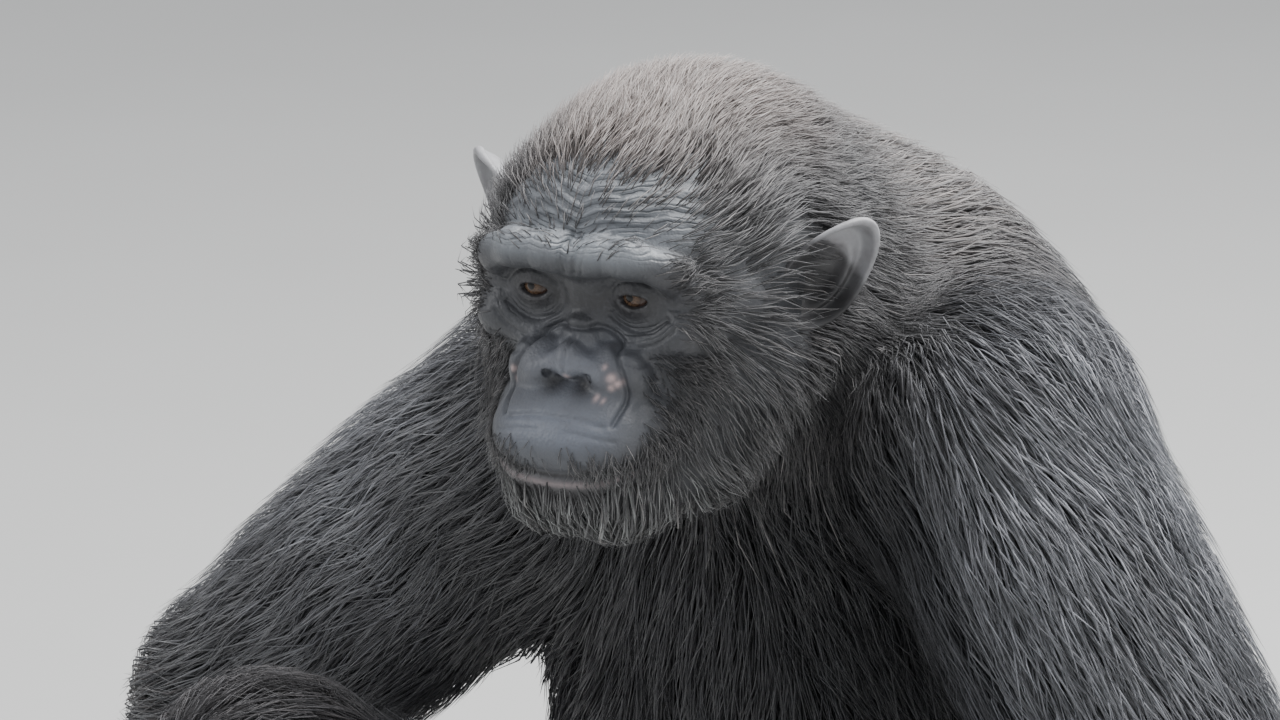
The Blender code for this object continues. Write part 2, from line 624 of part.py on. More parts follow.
def largest(mesh, near=None, within=0.04):
    """Only the closed surface with the most volume, of those that come near the point, if one is given.

    Points that lie together are merged first, by each of the tidy steps till every edge has just two faces.
    """
    for together, thin in TIDY_STEPS:
        shape = bmesh.new()
        shape.from_mesh(mesh)
        if together:
            bmesh.ops.remove_doubles(shape, verts=shape.verts, dist=together)
        if thin:
            bmesh.ops.dissolve_degenerate(shape, edges=shape.edges, dist=thin)
        bmesh.ops.triangulate(shape, faces=shape.faces)
        left = set(shape.faces)
        groups = []
        while left:
            seed = left.pop()
            group = [seed]
            for face in group:
                for edge in face.edges:
                    for other in edge.link_faces:
                        if other in left:
                            left.remove(other)
                            group.append(other)
            groups.append(group)
        if near is not None:
            spot = mathutils.Vector(near)
            groups = [group for group in groups if min((f.verts[0].co - spot).length for f in group) < within]
        groups.sort(key=group_volume)
        keep = set(groups[-1])
        bmesh.ops.delete(shape, geom=[face for face in shape.faces if face not in keep], context="FACES")
        bmesh.ops.delete(shape, geom=[v for v in shape.verts if not v.link_faces], context="VERTS")
        result = mesh.copy()
        shape.to_mesh(result)
        shape.free()
        if not fault_spots(result):
            break
    return result


def grown(mesh, distance, rounds=24):
    """A copy with every face moved out by about the distance.

    A point moves along the middle of the smallest ball that holds the normals of its faces, found by steps of
    1 / (round + 1) towards the normal that lies farthest off, so that no face beside a sharp point moves in.
    """
    copy = mesh.copy()
    points = np.empty(len(mesh.vertices) * 3)
    start = np.empty(len(mesh.vertices) * 3)
    facings = np.empty(len(mesh.polygons) * 3)
    corners = np.empty(len(mesh.loops), int)
    totals = np.empty(len(mesh.polygons), int)
    mesh.vertices.foreach_get("co", points)
    mesh.vertex_normals.foreach_get("vector", start)
    mesh.polygon_normals.foreach_get("vector", facings)
    mesh.loops.foreach_get("vertex_index", corners)
    mesh.polygons.foreach_get("loop_total", totals)
    facings = np.repeat(facings.reshape(-1, 3), totals, 0)
    middle = start.reshape(-1, 3)
    for count in range(1, rounds + 1):
        along = (middle[corners] * facings).sum(-1)
        order = np.lexsort((along, corners))
        farthest = order[np.searchsorted(corners[order], np.arange(len(middle)))]
        middle = middle + (facings[farthest] - middle) / (count + 1)
    middle = middle / np.linalg.norm(middle, axis=1, keepdims=True)
    least = np.ones(len(middle))
    np.minimum.at(least, corners, (middle[corners] * facings).sum(-1))
    moved = points.reshape(-1, 3) + distance * middle / np.clip(least, 0.6, 1.0)[:, None]
    copy.vertices.foreach_set("co", moved.ravel())
    copy.update()
    return copy


def drum(start, end, radius, sides=12):
    """A closed cylinder from start to end, to take one length of a limb."""
    axis = unit(np.subtract(end, start))
    first = unit(np.cross(axis, (0.3, 0.2, 0.9)))
    second = np.cross(axis, first)
    turn = np.linspace(0, math.tau, sides, endpoint=False)[:, None]
    rim = radius * (np.cos(turn) * first + np.sin(turn) * second)
    points = np.concatenate([start + rim, end + rim])
    walls = [(i, (i + 1) % sides, sides + (i + 1) % sides, sides + i) for i in range(sides)]
    caps = [tuple(range(sides))[::-1], tuple(range(sides, 2 * sides))]
    return new_mesh(points, walls + caps)


def egg(centre, radii, rings=8, sides=14):
    """A closed ellipsoid."""
    polar = np.linspace(0, math.pi, rings + 1)[1:-1, None]
    turn = np.linspace(0, math.tau, sides, endpoint=False)[None, :]
    grid = np.stack([np.sin(polar) * np.cos(turn), np.sin(polar) * np.sin(turn),
                     np.cos(polar) * np.ones_like(turn)], -1).reshape(-1, 3)
    points = np.concatenate([grid, [(0, 0, 1), (0, 0, -1)]]) * radii + centre
    faces = []
    for i in range(rings - 2):
        for j in range(sides):
            k = (j + 1) % sides
            faces.append((i * sides + j, (i + 1) * sides + j, (i + 1) * sides + k, i * sides + k))
    top, last = len(grid), (rings - 2) * sides
    for j in range(sides):
        k = (j + 1) % sides
        faces.append((top, j, k))
        faces.append((top + 1, last + k, last + j))
    return new_mesh(points, faces)


def ear(side):
    """A cupped leaf: round outline, bowl in front, curled rim.

    A grid of turns and rings gives its front and its back, which are joined at the rim.
    """
    turns, rings = 16, 3
    phi = np.linspace(0, math.tau, turns, endpoint=False)[None, :]
    t = np.linspace(0, 1, rings + 1)[1:, None]
    across = EAR_WIDTH * (0.5 + 0.5 * np.cos(phi) * t)
    tall = EAR_HEIGHT * 0.5 * np.sin(phi) * t * (1 - 0.16 * (1 - np.cos(phi)) * t)
    bowl = 0.011 * (1 - t * t) - 0.004 * ramp(t, 0.75, 1.0) * ramp(np.cos(phi) + 0.4, 0, 1)
    back = bowl + EAR_THICK * (1 - 0.5 * t ** 6)
    middle = [[EAR_WIDTH * 0.5, 0.0, 0.011], [EAR_WIDTH * 0.5, 0.0, 0.011 + EAR_THICK]]
    front_grid = np.stack([across, tall, bowl * np.ones_like(phi)], -1).reshape(-1, 3)
    back_grid = np.stack([across, tall, back * np.ones_like(phi)], -1).reshape(-1, 3)
    leaf = np.concatenate([front_grid, back_grid, middle])
    out, up = unit((0.66, 0.66, 0.15)), unit((0.33, 0.13, 0.93))
    inward = unit(np.cross(up, out))
    q = vec(*EAR_ROOT[side]) + leaf[:, :1] * out + leaf[:, 1:2] * up + leaf[:, 2:] * inward
    q[:, 0] *= side
    faces = []
    count = turns * rings
    for i in range(rings - 1):
        for j in range(turns):
            k = (j + 1) % turns
            a, b, c, d = i * turns + j, (i + 1) * turns + j, (i + 1) * turns + k, i * turns + k
            faces.append((a, b, c, d))
            faces.append((count + d, count + c, count + b, count + a))
    for j in range(turns):
        k = (j + 1) % turns
        rim = (rings - 1) * turns
        faces.append((rim + j, count + rim + j, count + rim + k, rim + k))
        faces.append((2 * count, j, k))
        faces.append((2 * count + 1, count + k, count + j))
    mesh = new_mesh(from_head(q), faces)
    shape = bmesh.new()
    shape.from_mesh(mesh)
    bmesh.ops.recalc_face_normals(shape, faces=shape.faces)
    bmesh.ops.triangulate(shape, faces=shape.faces)
    shape.to_mesh(mesh)
    shape.free()
    return mesh


def material(name, colour, roughness):
    made = bpy.data.materials.new(name)
    made.use_nodes = True
    shader = made.node_tree.nodes["Principled BSDF"]
    shader.inputs["Base Color"].default_value = (*colour, 1)
    shader.inputs["Roughness"].default_value = roughness
    shader.inputs["Metallic"].default_value = 0.0
    return made


def add_node(name, mesh, finish):
    mesh.name = name
    mesh.materials.clear()
    mesh.materials.append(finish)
    mesh.shade_smooth()
    thing = bpy.data.objects.new(name, mesh)
    bpy.context.scene.collection.objects.link(thing)
    return thing


def regions():
    """What each part takes of the body, in the order of the cuts: its name, a closed mesh that holds it, and
    a point on or near its skin."""
    found = [("head", egg(*HEAD_EGG), EYES), ("neck", egg(*NECK_EGG), vec(0, -0.13, 0.60))]
    for side, word in SIDES.items():
        def add(kind, start, end, spot):
            found.append((f"{kind}_{word}", drum(start, end, DRUM_RADIUS[kind]), spot))
        a, b, c = SHOULDER[side], ELBOW[side], WRIST[side]
        onward = hand_way(side)
        add("hand", c, c + 0.22 * onward, c + 0.09 * onward)
        add("forearm", b, c + DRUM_SPARE * unit(c - b), (b + c) / 2)
        add("upper_arm", a + ARM_CUT * (b - a), b + 0.05 * unit(b - a), (a + b) / 2)
        a, b, c = HIP[side], KNEE[side], ANKLE[side]
        add("foot", c + ANKLE_LIFT, c - vec(0, 0, 0.10), c)
        add("shin", b + KNEE_DROP * unit(c - b), c + DRUM_SPARE * unit(c - b), (b + c) / 2)
        add("thigh", a + LEG_CUT * (b - a), b + 0.09 * unit(b - a), b)
    return found


def hand_way(side):
    """Direction from the wrist to the knuckles."""
    wrist = WRIST[side]
    return unit(vec(*wrist[:2], 0.035) + 0.062 * vec(*FINGERS[side], 0) - wrist)


def side_of(name):
    """1 for a part of the left, -1 for one of the right."""
    return 1 if name.endswith("left") else -1


def kind_of(name):
    """A part's name without its side."""
    return name.replace("_left", "").replace("_right", "")


def limb_of(name):
    """Number of the limb that a part belongs to, as forms() lists them, or None on the trunk."""
    if kind_of(name) in ("upper_arm", "forearm", "hand"):
        return list(SIDES).index(side_of(name))
    if kind_of(name) in ("thigh", "shin", "foot"):
        return list(SIDES).index(side_of(name)) + 2
    return None


def fine_form(name):
    """The core of the head, a hand or a foot on a finer grid than the body's."""
    if name == "head":
        low, high = EYES + vec(-0.125, -0.08, -0.165), EYES + vec(0.125, 0.26, 0.135)
        return thinned(new_mesh(*surface(coated(CORE), low, high, HEAD_CELL)), HEAD_FACES)
    side = side_of(name)
    limb = limb_of(name)
    if kind_of(name) == "hand":
        centre = vec(*WRIST[side][:2], 0) + 0.06 * vec(*FINGERS[side], 0)
        low, high = centre + vec(-0.11, -0.12, -0.0125), centre + vec(0.11, 0.12, 0.18)
        return thinned(new_mesh(*surface(coated(CORE, limb), low, high, LIMB_CELL)), HAND_FACES)
    centre = vec(*ANKLE[side][:2], 0) + 0.04 * vec(*TOES[side], 0)
    low, high = centre + vec(-0.12, -0.16, -0.0125), centre + vec(0.12, 0.14, 0.12)
    return thinned(new_mesh(*surface(coated(CORE, limb), low, high, LIMB_CELL)), FOOT_FACES)


def build():
    for thing in list(bpy.data.objects):
        bpy.data.objects.remove(thing)
    coat = material("coat", (0.020, 0.019, 0.020), 0.75)
    face = material("face_skin", (0.045, 0.043, 0.047), 0.60)
    hands = material("hand_skin", (0.030, 0.027, 0.027), 0.65)
    amber = material("eye", (0.12, 0.045, 0.015), 0.10)
    finishes = {"head": face}
    for word in SIDES.values():
        finishes[f"hand_{word}"] = hands
        finishes[f"foot_{word}"] = hands

    low, high = vec(-0.52, -0.62, -0.030), vec(0.46, 0.22, 0.74)
    rest = thinned(new_mesh(*surface(coated(CORE), low, high, BODY_CELL)), BODY_FACES)
    parts = {}
    for name, region, spot in regions():
        piece = largest(combined(rest, region, "INTERSECT"), spot, PIECE_NEAR)
        rest = combined(rest, grown(piece, CUT_GAP), "DIFFERENCE")
        if kind_of(name) in ("head", "hand", "foot"):
            piece = largest(combined(fine_form(name), region, "INTERSECT"), spot, PIECE_NEAR)
        parts[name] = piece
    parts["torso"] = largest(rest)
    for side, word in SIDES.items():
        x, y, z = EYE_PLACE
        centre = from_head((x * side, y, z))
        eyeball = egg(centre, vec(1, 1, 1) * EYE_RADIUS, 8, 12)
        socket = egg(centre, vec(1, 1, 1) * (EYE_RADIUS + GAP), 8, 12)
        parts["head"] = largest(combined(parts["head"], socket, "DIFFERENCE"))
        parts[f"eye_{word}"] = eyeball
        finishes[f"eye_{word}"] = amber
    for side, word in SIDES.items():
        parts[f"ear_{word}"] = largest(combined(ear(side), grown(parts["head"], CUT_GAP), "DIFFERENCE"))
        finishes[f"ear_{word}"] = face

    random = np.random.default_rng(8)
    for name in list(parts):
        if kind_of(name) in LOCKS:
            others = [piece for other, piece in parts.items() if other != name]
            parts[name] = with_locks(name, parts[name], others, random)

    for name, mesh in parts.items():
        add_node(name, mesh, finishes.get(name, coat))


build()
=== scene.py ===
"""A life-size seated chimpanzee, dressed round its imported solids: skin, coat, ears, eyes and nails.

The flesh is a field of rounded bones and ellipsoids between named joints, the same as in the part's source.
The skin is the field's zero surface, found on a grid, because no sheet of two parameters can follow a whole
branching body. It is refined over the face, where folds and wrinkles move its points along their normals.
Tufts are closed three-sided tapers, traced step by step over the skin along the lie of the coat. Metres,
+Z up, the face looks along -Y, and the floor is z = 0.
"""

import math

import bmesh
import bpy
import numpy as np
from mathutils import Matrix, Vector


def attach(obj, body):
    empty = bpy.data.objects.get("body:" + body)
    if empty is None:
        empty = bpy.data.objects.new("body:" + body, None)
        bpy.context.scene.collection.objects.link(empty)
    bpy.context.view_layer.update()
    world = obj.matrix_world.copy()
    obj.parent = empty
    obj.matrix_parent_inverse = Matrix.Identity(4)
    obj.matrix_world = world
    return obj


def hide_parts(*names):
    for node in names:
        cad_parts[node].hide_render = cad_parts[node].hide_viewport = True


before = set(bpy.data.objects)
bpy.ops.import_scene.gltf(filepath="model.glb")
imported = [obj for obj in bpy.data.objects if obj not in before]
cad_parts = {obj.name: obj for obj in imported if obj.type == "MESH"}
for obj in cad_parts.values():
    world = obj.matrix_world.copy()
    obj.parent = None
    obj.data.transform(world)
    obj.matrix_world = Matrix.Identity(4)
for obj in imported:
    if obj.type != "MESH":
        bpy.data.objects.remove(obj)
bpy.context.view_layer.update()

# The joints and sizes of the part, metres
EYES = np.array([0.0, -0.330, 0.600])
HEAD_PITCH = math.radians(6)
HIP = {1: (0.085, -0.030, 0.105), -1: (-0.085, -0.030, 0.105)}
KNEE = {1: (0.150, -0.295, 0.300), -1: (-0.225, -0.270, 0.290)}
ANKLE = {1: (0.170, -0.345, 0.062), -1: (-0.215, -0.325, 0.062)}
TOES = {1: (0.10, -0.995), -1: (-0.20, -0.980)}
SHOULDER = {1: (0.148, -0.165, 0.500), -1: (-0.128, -0.120, 0.463)}
ELBOW = {1: (0.300, -0.215, 0.300), -1: (-0.333, -0.099, 0.289)}
WRIST = {1: (0.300, -0.410, 0.105), -1: (-0.350, -0.135, 0.080)}
FINGERS = {1: (0.10, -0.995), -1: (-0.45, -0.893)}
SIDES = {1: "left", -1: "right"}
for joints in (HIP, KNEE, ANKLE, SHOULDER, ELBOW, WRIST):
    for side_key in joints:
        joints[side_key] = np.array(joints[side_key])
COAT = 0.022                 # depth of the coat on the body
HEAD_COAT = 0.015
MOAT = 0.030                 # gap left between the coats of two limbs
SOLE = 0.0020                # how far the soles and rump sink, to stand on flats
EYE_RADIUS = 0.0120
EYE_PLACE = (0.028, 0.0115, 0.0)
NAPE = np.array([0.0, -0.120, 0.560])
EAR_HEIGHT = 0.070
EAR_WIDTH = 0.052
EAR_ROOT = {1: (0.074, 0.065, -0.012), -1: (0.074, 0.065, 0.002)}   # x outward from the middle
FINGER_RADII = (0.0125, 0.0115, 0.0095)      # at the root, the middle and the tip
THUMB_RADII = (0.013, 0.0115, 0.0085)
TOE_RADII = (0.0140, 0.0110, 0.0095)
BIG_TOE_RADII = (0.019, 0.0150, 0.0120)
MM = 0.001

# The skin's grid, and its triangles outside the head, hands and feet
CELL = 0.004
BLOCK = 4                    # fine cells along a coarse cell's side
BODY_TRIANGLES = 56000
FACE_REACH = 150             # of the folds and the beard from between the eyes, mm

# The tufts
STATIONS = (0, 0.5, 1)       # along a tuft
STATION_WIDTHS = (0.75, 1.0)
TUFT_TRIANGLES = 10
PIECE_TRIANGLES = 190000     # most in one piece of the coat
LEAST_HEIGHT = 0.0015        # of a tuft over the floor
LEAST_LIFT = 0.0004          # of a tuft over the skin
RIDGE = 0.7                  # a tuft's ridge over its sides, in half widths
ROOT_SHADE = 0.50            # of a tuft's tint at its root, painted shade deep in the coat
SHADE_GAIN = 0.62            # from root to tip
PATCH = 0.003                # side of a tuft's place on the flat map


# The flesh as a field

def vec(*numbers):
    """The numbers as one array."""
    return np.array(numbers, float)


def unit(v):
    """The vector over its length."""
    return np.asarray(v, float) / np.linalg.norm(v)


def length(v):
    """Square root of the sum of squares of each vector."""
    return np.sqrt((v * v).sum(-1))


def normalised(v):
    """Each vector over its length."""
    return v / (length(v)[..., None] + 1e-12)


def ball(p, centre, radii):
    """Nearly the distance to an ellipsoid: its scaled radius less one, over that quantity's own slope."""
    q = p - centre
    scaled = length(q / radii)
    slope = length(q / np.square(radii)) + 1e-9
    return scaled * (scaled - 1) / slope


def bone(p, start, end, start_radius, end_radius):
    """Distance to a rod whose radius goes evenly from one end's to the other's."""
    line = np.subtract(end, start)
    along = np.clip(((p - start) @ line) / (line @ line), 0, 1)
    radius = start_radius + (end_radius - start_radius) * along
    return length(p - start - along[..., None] * line) - radius


def blend(a, b, soft):
    """The nearer of two distances, rounded where they are closer than soft to each other."""
    h = np.maximum(soft - np.abs(a - b), 0) / soft
    return np.minimum(a, b) - h * h * soft / 4


def carve(a, b, soft):
    """Form a with form b taken from it."""
    return -blend(-a, b, soft)


def chain(p, points, radii, soft):
    """Rods end to end through the points, one radius a point."""
    d = bone(p, points[0], points[1], radii[0], radii[1])
    for i in range(1, len(points) - 1):
        d = blend(d, bone(p, points[i], points[i + 1], radii[i], radii[i + 1]), soft)
    return d


def ramp(x, low, high):
    """0 up to low, 1 from high on, and smooth between."""
    t = np.clip((x - low) / (high - low), 0, 1)
    return t * t * (3 - 2 * t)


def fade(x, low, high):
    """1 up to low, 0 from high on, and smooth between."""
    return 1 - ramp(x, low, high)


def bump(x, centre, width):
    """1 at the centre, falling off as a bell."""
    return np.exp(-((x - centre) / width) ** 2)


def near_only(function, p, centre, reach, spare):
    """The function's values within reach of the centre, and farther off the distance to it less spare."""
    away = length(p - centre)
    near = away < reach
    value = away - spare
    if near.any():
        value[near] = function(p[near])
    return value


def to_head(p):
    """World points in the head's own frame, mm: x to its left, y backward, z up, from between the eyes."""
    q = (p - EYES) / MM
    c, s = math.cos(HEAD_PITCH), math.sin(HEAD_PITCH)
    return np.stack([q[..., 0], q[..., 1] * c + q[..., 2] * s, q[..., 2] * c - q[..., 1] * s], -1)


def from_head(q):
    """Points of the head's own frame, mm, in the world."""
    q = np.asarray(q, float) * MM
    c, s = math.cos(HEAD_PITCH), math.sin(HEAD_PITCH)
    return EYES + np.stack([q[..., 0], q[..., 1] * c - q[..., 2] * s, q[..., 2] * c + q[..., 1] * s], -1)


def head(p):
    """Skull, face, muzzle and jaw in millimetres, both halves alike: x is the distance from the middle."""
    q = to_head(p)
    m = np.stack([np.sqrt(q[..., 0] ** 2 + 0.5), q[..., 1], q[..., 2]], -1)
    d = ball(m, (0, 88, 9), (68, 90, 63))
    d = blend(d, ball(m, (0, 34, 26), (42, 36, 32)), 20)
    d = blend(d, ball(m, (38, 62, -6), (38, 58, 48)), 20)
    d = blend(d, ball(m, (0, 124, -16), (66, 68, 72)), 20)
    d = blend(d, ball(m, (0, 30, -26), (54, 34, 50)), 12)
    upper_jaw = ball(m, (17, 12, -70), (35, 56, 33))
    lower_jaw = ball(m, (13, 19, -94), (30, 56, 25))
    d = blend(blend(d, upper_jaw, 12), lower_jaw, 8)
    middle_jaw = blend(ball(m, (0, 11, -70), (30, 56.5, 32)), ball(m, (0, 17, -94), (27, 56, 25)), 6)
    d = blend(d, middle_jaw, 8)
    d = blend(d, chain(m, [(20, -6, -104), (46, 32, -90), (62, 74, -52)], (13, 19, 22), 8), 16)
    cheek_bone = chain(m, [(30, 4, -27), (52, 10, -19), (68, 40, -12)], (8, 12, 12), 6)
    d = blend(d, cheek_bone, 12)
    d = blend(d, ball(m, (46, 42, -48), (26, 34, 40)), 14)
    brow = chain(m, [(0, -7, 19), (13, -10, 23.5), (32, -10, 24.5), (48, -1, 17), (56, 12, 2)],
                 (8.5, 9, 9.5, 8.5, 7), 6)
    d = blend(d, brow, 7)
    d = carve(d, ball(m, (28, -6, -3), (19, 12, 14)), 7)
    nose = blend(ball(m, (21, -8, -40), (18.5, 14, 18)), ball(m, (0, -4, -21), (10, 10, 12)), 8)
    nose = blend(nose, ball(m, (0, -18, -29), (7.5, 9.5, 10)), 4)
    nose = blend(nose, chain(m, [(8, -18, -31), (19, -18, -37), (25, -14, -46)], (5, 5, 4), 3), 5)
    d = blend(d, nose, 4)
    nostril = chain(m, [(5.5, -25, -41), (9.5, -24, -38), (13, -20, -36)], (2.6, 3.2, 2.2), 1)
    d = carve(d, nostril, 1.5)
    lids = ball(m, (28, 11.5, 0), (15.5, 15.5, 14.5))
    d = blend(d, lids, 7)
    d = carve(d, ball(m, (28.3, -6, -0.8), (8.6, 13, 3.6)), 1.2)
    mouth = chain(m, [(0, -44, -82.5), (22, -43, -81.5), (40, -30, -77), (47, -18, -76)],
                  (1.8, 1.8, 1.6, 1.2), 1)
    lip = chain(m, [(0, -37, -89), (22, -35, -87.5), (38, -23, -82)], (4.5, 4.3, 3.2), 2)
    return carve(blend(d, lip, 4), mouth, 3) * MM


def torso(p):
    """Rump, belly, chest, shoulder girdle and the hump over it, blended."""
    d = ball(p, vec(0.0, 0.0, 0.115), (0.135, 0.120, 0.115 + SOLE))
    d = blend(d, ball(p, vec(-0.003, -0.03, 0.25), (0.143, 0.120, 0.13)), 0.06)
    d = blend(d, ball(p, vec(0.002, -0.045, 0.38), (0.158, 0.120, 0.13)), 0.06)
    girdle = bone(p, SHOULDER[-1] + vec(0.03, 0.02, 0.0), SHOULDER[1] + vec(-0.03, 0.04, 0.0), 0.060, 0.062)
    d = blend(d, girdle, 0.06)
    return blend(d, ball(p, vec(0.015, -0.050, 0.490), (0.125, 0.092, 0.082)), 0.05)


def neck(p):
    """From the shoulders' hump to the back of the skull."""
    return bone(p, vec(0.012, -0.085, 0.530), vec(0, -0.205, 0.598), 0.088, 0.078)


def finger_lines(side):
    """Root, middle and tip of each finger and of the thumb, with the palm's start for each finger."""
    wrist = WRIST[side]
    ahead = vec(*FINGERS[side], 0)
    out = vec(-ahead[1], ahead[0], 0) * side
    base = vec(wrist[0], wrist[1], 0) + 0.062 * ahead
    lines = []
    for i, reach in enumerate((-0.006, 0.004, 0.006, 0.0)):
        aside = out * (i - 1.5) * 0.0225
        root = base + aside * 0.9 + ahead * reach + vec(0, 0, 0.034)
        middle = root + ahead * 0.040 + aside * 0.28 + vec(0, 0, -0.014)
        tip = middle + ahead * 0.034 + aside * 0.22 + vec(0, 0, -0.0125 + SOLE * 0.5)
        lines.append((wrist + aside * 0.4 + vec(0, 0, -0.012), root, middle, tip))
    thumb = (wrist - out * 0.016 + ahead * 0.010 + vec(0, 0, -0.020),
             base - out * 0.040 - ahead * 0.010 + vec(0, 0, 0.022),
             base - out * 0.050 + ahead * 0.022 + vec(0, 0, 0.012))
    return lines, thumb


def hand(p, side):
    """Each finger blended into its own part of the palm and then into its neighbour, and the thumb."""
    lines, thumb = finger_lines(side)
    d = None
    for start, root, middle, tip in lines:
        palm = bone(p, start, root, 0.017, 0.014)
        finger = blend(chain(p, [root, middle, tip], FINGER_RADII, 0.004), palm, 0.010)
        d = finger if d is None else blend(d, finger, 0.006)
    return blend(d, chain(p, thumb, THUMB_RADII, 0.004), 0.010)


def arm(p, side):
    """Upper arm, forearm and hand of one side."""
    a, b, c = SHOULDER[side], ELBOW[side], WRIST[side]
    upper = bone(p, a, b, 0.060, 0.042)
    upper = blend(upper, bone(p, a + 0.3 * (b - a), a + 0.7 * (b - a), 0.052, 0.046), 0.03)
    lower = bone(p, b, c, 0.041, 0.026)
    lower = blend(lower, bone(p, b + 0.12 * (c - b), b + 0.5 * (c - b), 0.043, 0.034), 0.03)
    palm = near_only(lambda q: hand(q, side), p, c + 0.06 * vec(*FINGERS[side], -0.5), 0.20, 0.14)
    return blend(blend(upper, lower, 0.02), palm, 0.012)


def toe_lines(side):
    """Root, middle and tip of each toe, and the big toe's three points."""
    ankle = ANKLE[side]
    ahead = vec(*TOES[side], 0)
    inward = vec(ahead[1], -ahead[0], 0) * side
    flat = vec(ankle[0], ankle[1], 0)
    lines = []
    for i, reach in enumerate((0.0, 0.002, 0.0, -0.008)):
        aside = (i - 1.5) * 0.021
        root = flat + ahead * (0.085 + reach) - inward * (aside + 0.004) + vec(0, 0, 0.024 - SOLE)
        middle = root + ahead * 0.036 - inward * aside * 0.25 + vec(0, 0, -0.006)
        lines.append((root, middle, middle + ahead * 0.026 + vec(0, 0, -0.008)))
    big = (flat + ahead * 0.020 + inward * 0.018 + vec(0, 0, 0.022),
           flat + ahead * 0.062 + inward * 0.052 + vec(0, 0, 0.015),
           flat + ahead * 0.092 + inward * 0.062 + vec(0, 0, 0.011))
    return lines, big


def foot(p, side):
    """Heel, sole and four toes on the floor, with the big toe standing off toward the other foot."""
    ankle = ANKLE[side]
    ahead = vec(*TOES[side], 0)
    flat = vec(ankle[0], ankle[1], 0)
    heel_z, sole_z = 0.028 - SOLE, 0.024 - SOLE
    d = bone(p, flat - ahead * 0.035 + vec(0, 0, heel_z), ankle + vec(0, 0, -0.010), 0.028, 0.028)
    arch = bone(p, flat - ahead * 0.02 + vec(0, 0, 0.030), flat + ahead * 0.085 + vec(0, 0, sole_z),
                0.030, 0.024)
    d = blend(d, arch, 0.02)
    lines, big = toe_lines(side)
    for line in lines:
        d = blend(d, chain(p, line, TOE_RADII, 0.004), 0.007)
    return blend(d, chain(p, big, BIG_TOE_RADII, 0.004), 0.012)


def leg(p, side):
    """Thigh, shin and foot of one side."""
    a, b, c = HIP[side], KNEE[side], ANKLE[side]
    upper = bone(p, a, b, 0.080, 0.049)
    lower = blend(bone(p, b, c, 0.048, 0.029),
                  bone(p, b + 0.2 * (c - b), b + 0.5 * (c - b), 0.046, 0.040), 0.02)
    sole = near_only(lambda q: foot(q, side), p, c + 0.05 * vec(*TOES[side], -0.5), 0.22, 0.16)
    return blend(blend(upper, lower, 0.02), sole, 0.015)


def forms(p):
    """Distances to the four limbs, arms first, then to the whole animal with every limb blended in."""
    skull = near_only(head, p, EYES + vec(0, 0.08, 0), 0.26, 0.17)
    trunk = blend(blend(torso(p), neck(p), 0.06), skull, 0.03)
    limbs = [arm(p, side) for side in SIDES] + [leg(p, side) for side in SIDES]
    whole = trunk
    for limb, soft in zip(limbs, (0.05, 0.05, 0.04, 0.04)):
        whole = np.minimum(whole, blend(trunk, limb, soft))
    return np.stack(limbs), whole


def skin_field(p):
    """The flesh, flat on the floor."""
    return np.maximum(forms(p)[1], -p[..., 2])


def in_batches(function, p, size=120000):
    """The function's values, worked out for so many points at a time."""
    return np.concatenate([function(p[i:i + size]) for i in range(0, len(p), size)])


def gradient(field, p, step=0.0012):
    """Unit direction in which the field grows fastest, from the corners of a small tetrahedron."""
    corners = vec(1, 1, 1), vec(1, -1, -1), vec(-1, 1, -1), vec(-1, -1, 1)
    return normalised(sum(field(p + step * corner)[..., None] * corner for corner in corners))


def naked_face(q):
    """1 on the face, in the head's frame, and 0 round an ellipse and behind it."""
    face = np.sqrt((q[..., 0] / 60) ** 2 + ((q[..., 2] + 20) / 66) ** 2)
    return fade(face, 0.85, 1.35) * fade(q[..., 1], 18, 60)


def past_ends(p):
    """For each wrist and ankle, how far the points lie past it along the limb, and how far from it."""
    for side in SIDES:
        for joint, before in ((WRIST[side], ELBOW[side]), (ANKLE[side], KNEE[side])):
            yield (p - joint) @ unit(joint - before), length(p - joint)


def naked_end(past, away):
    """1 past a wrist or ankle, and 0 beyond the reach of a hand or foot."""
    return ramp(past, -0.075, 0.012) * fade(away, 0.13, 0.17)


def bareness(p):
    """1 on the naked skin of the face, hands and feet, 0 where the coat is full."""
    q = to_head(p)
    bare = naked_face(q) * fade(length(q), 150, 210)
    for past, away in past_ends(p):
        bare = np.maximum(bare, naked_end(past, away))
    return bare


def coat_depth(p, limbs):
    """Depth of the coat, as in the part: none on the face, hands and feet, thin on the head, full on the
    body, and never more than leaves the moat between two limbs."""
    q = to_head(p)
    depth = np.full(p.shape[:-1], COAT)
    near_head = fade(q[..., 1] - 0.35 * q[..., 2], 95, 175)
    chin = 0.3 * fade(q[..., 1], -10, 40) * fade(-q[..., 2], 118, 150)
    bare = np.maximum(naked_face(q), chin)
    ruff = 0.010 * bump(q[..., 2], -25, 45) * ramp(np.abs(q[..., 0]), 35, 70) * fade(q[..., 1], 70, 110)
    depth = depth + near_head * ((HEAD_COAT + ruff) * (1 - bare) - depth)
    for past, away in past_ends(p):
        depth = depth * (1 - naked_end(past, away))
    nearest, second = np.sort(limbs, 0)[:2]
    return np.minimum(depth, np.maximum(0.5 * (nearest + second - MOAT), 0))


# Meshes

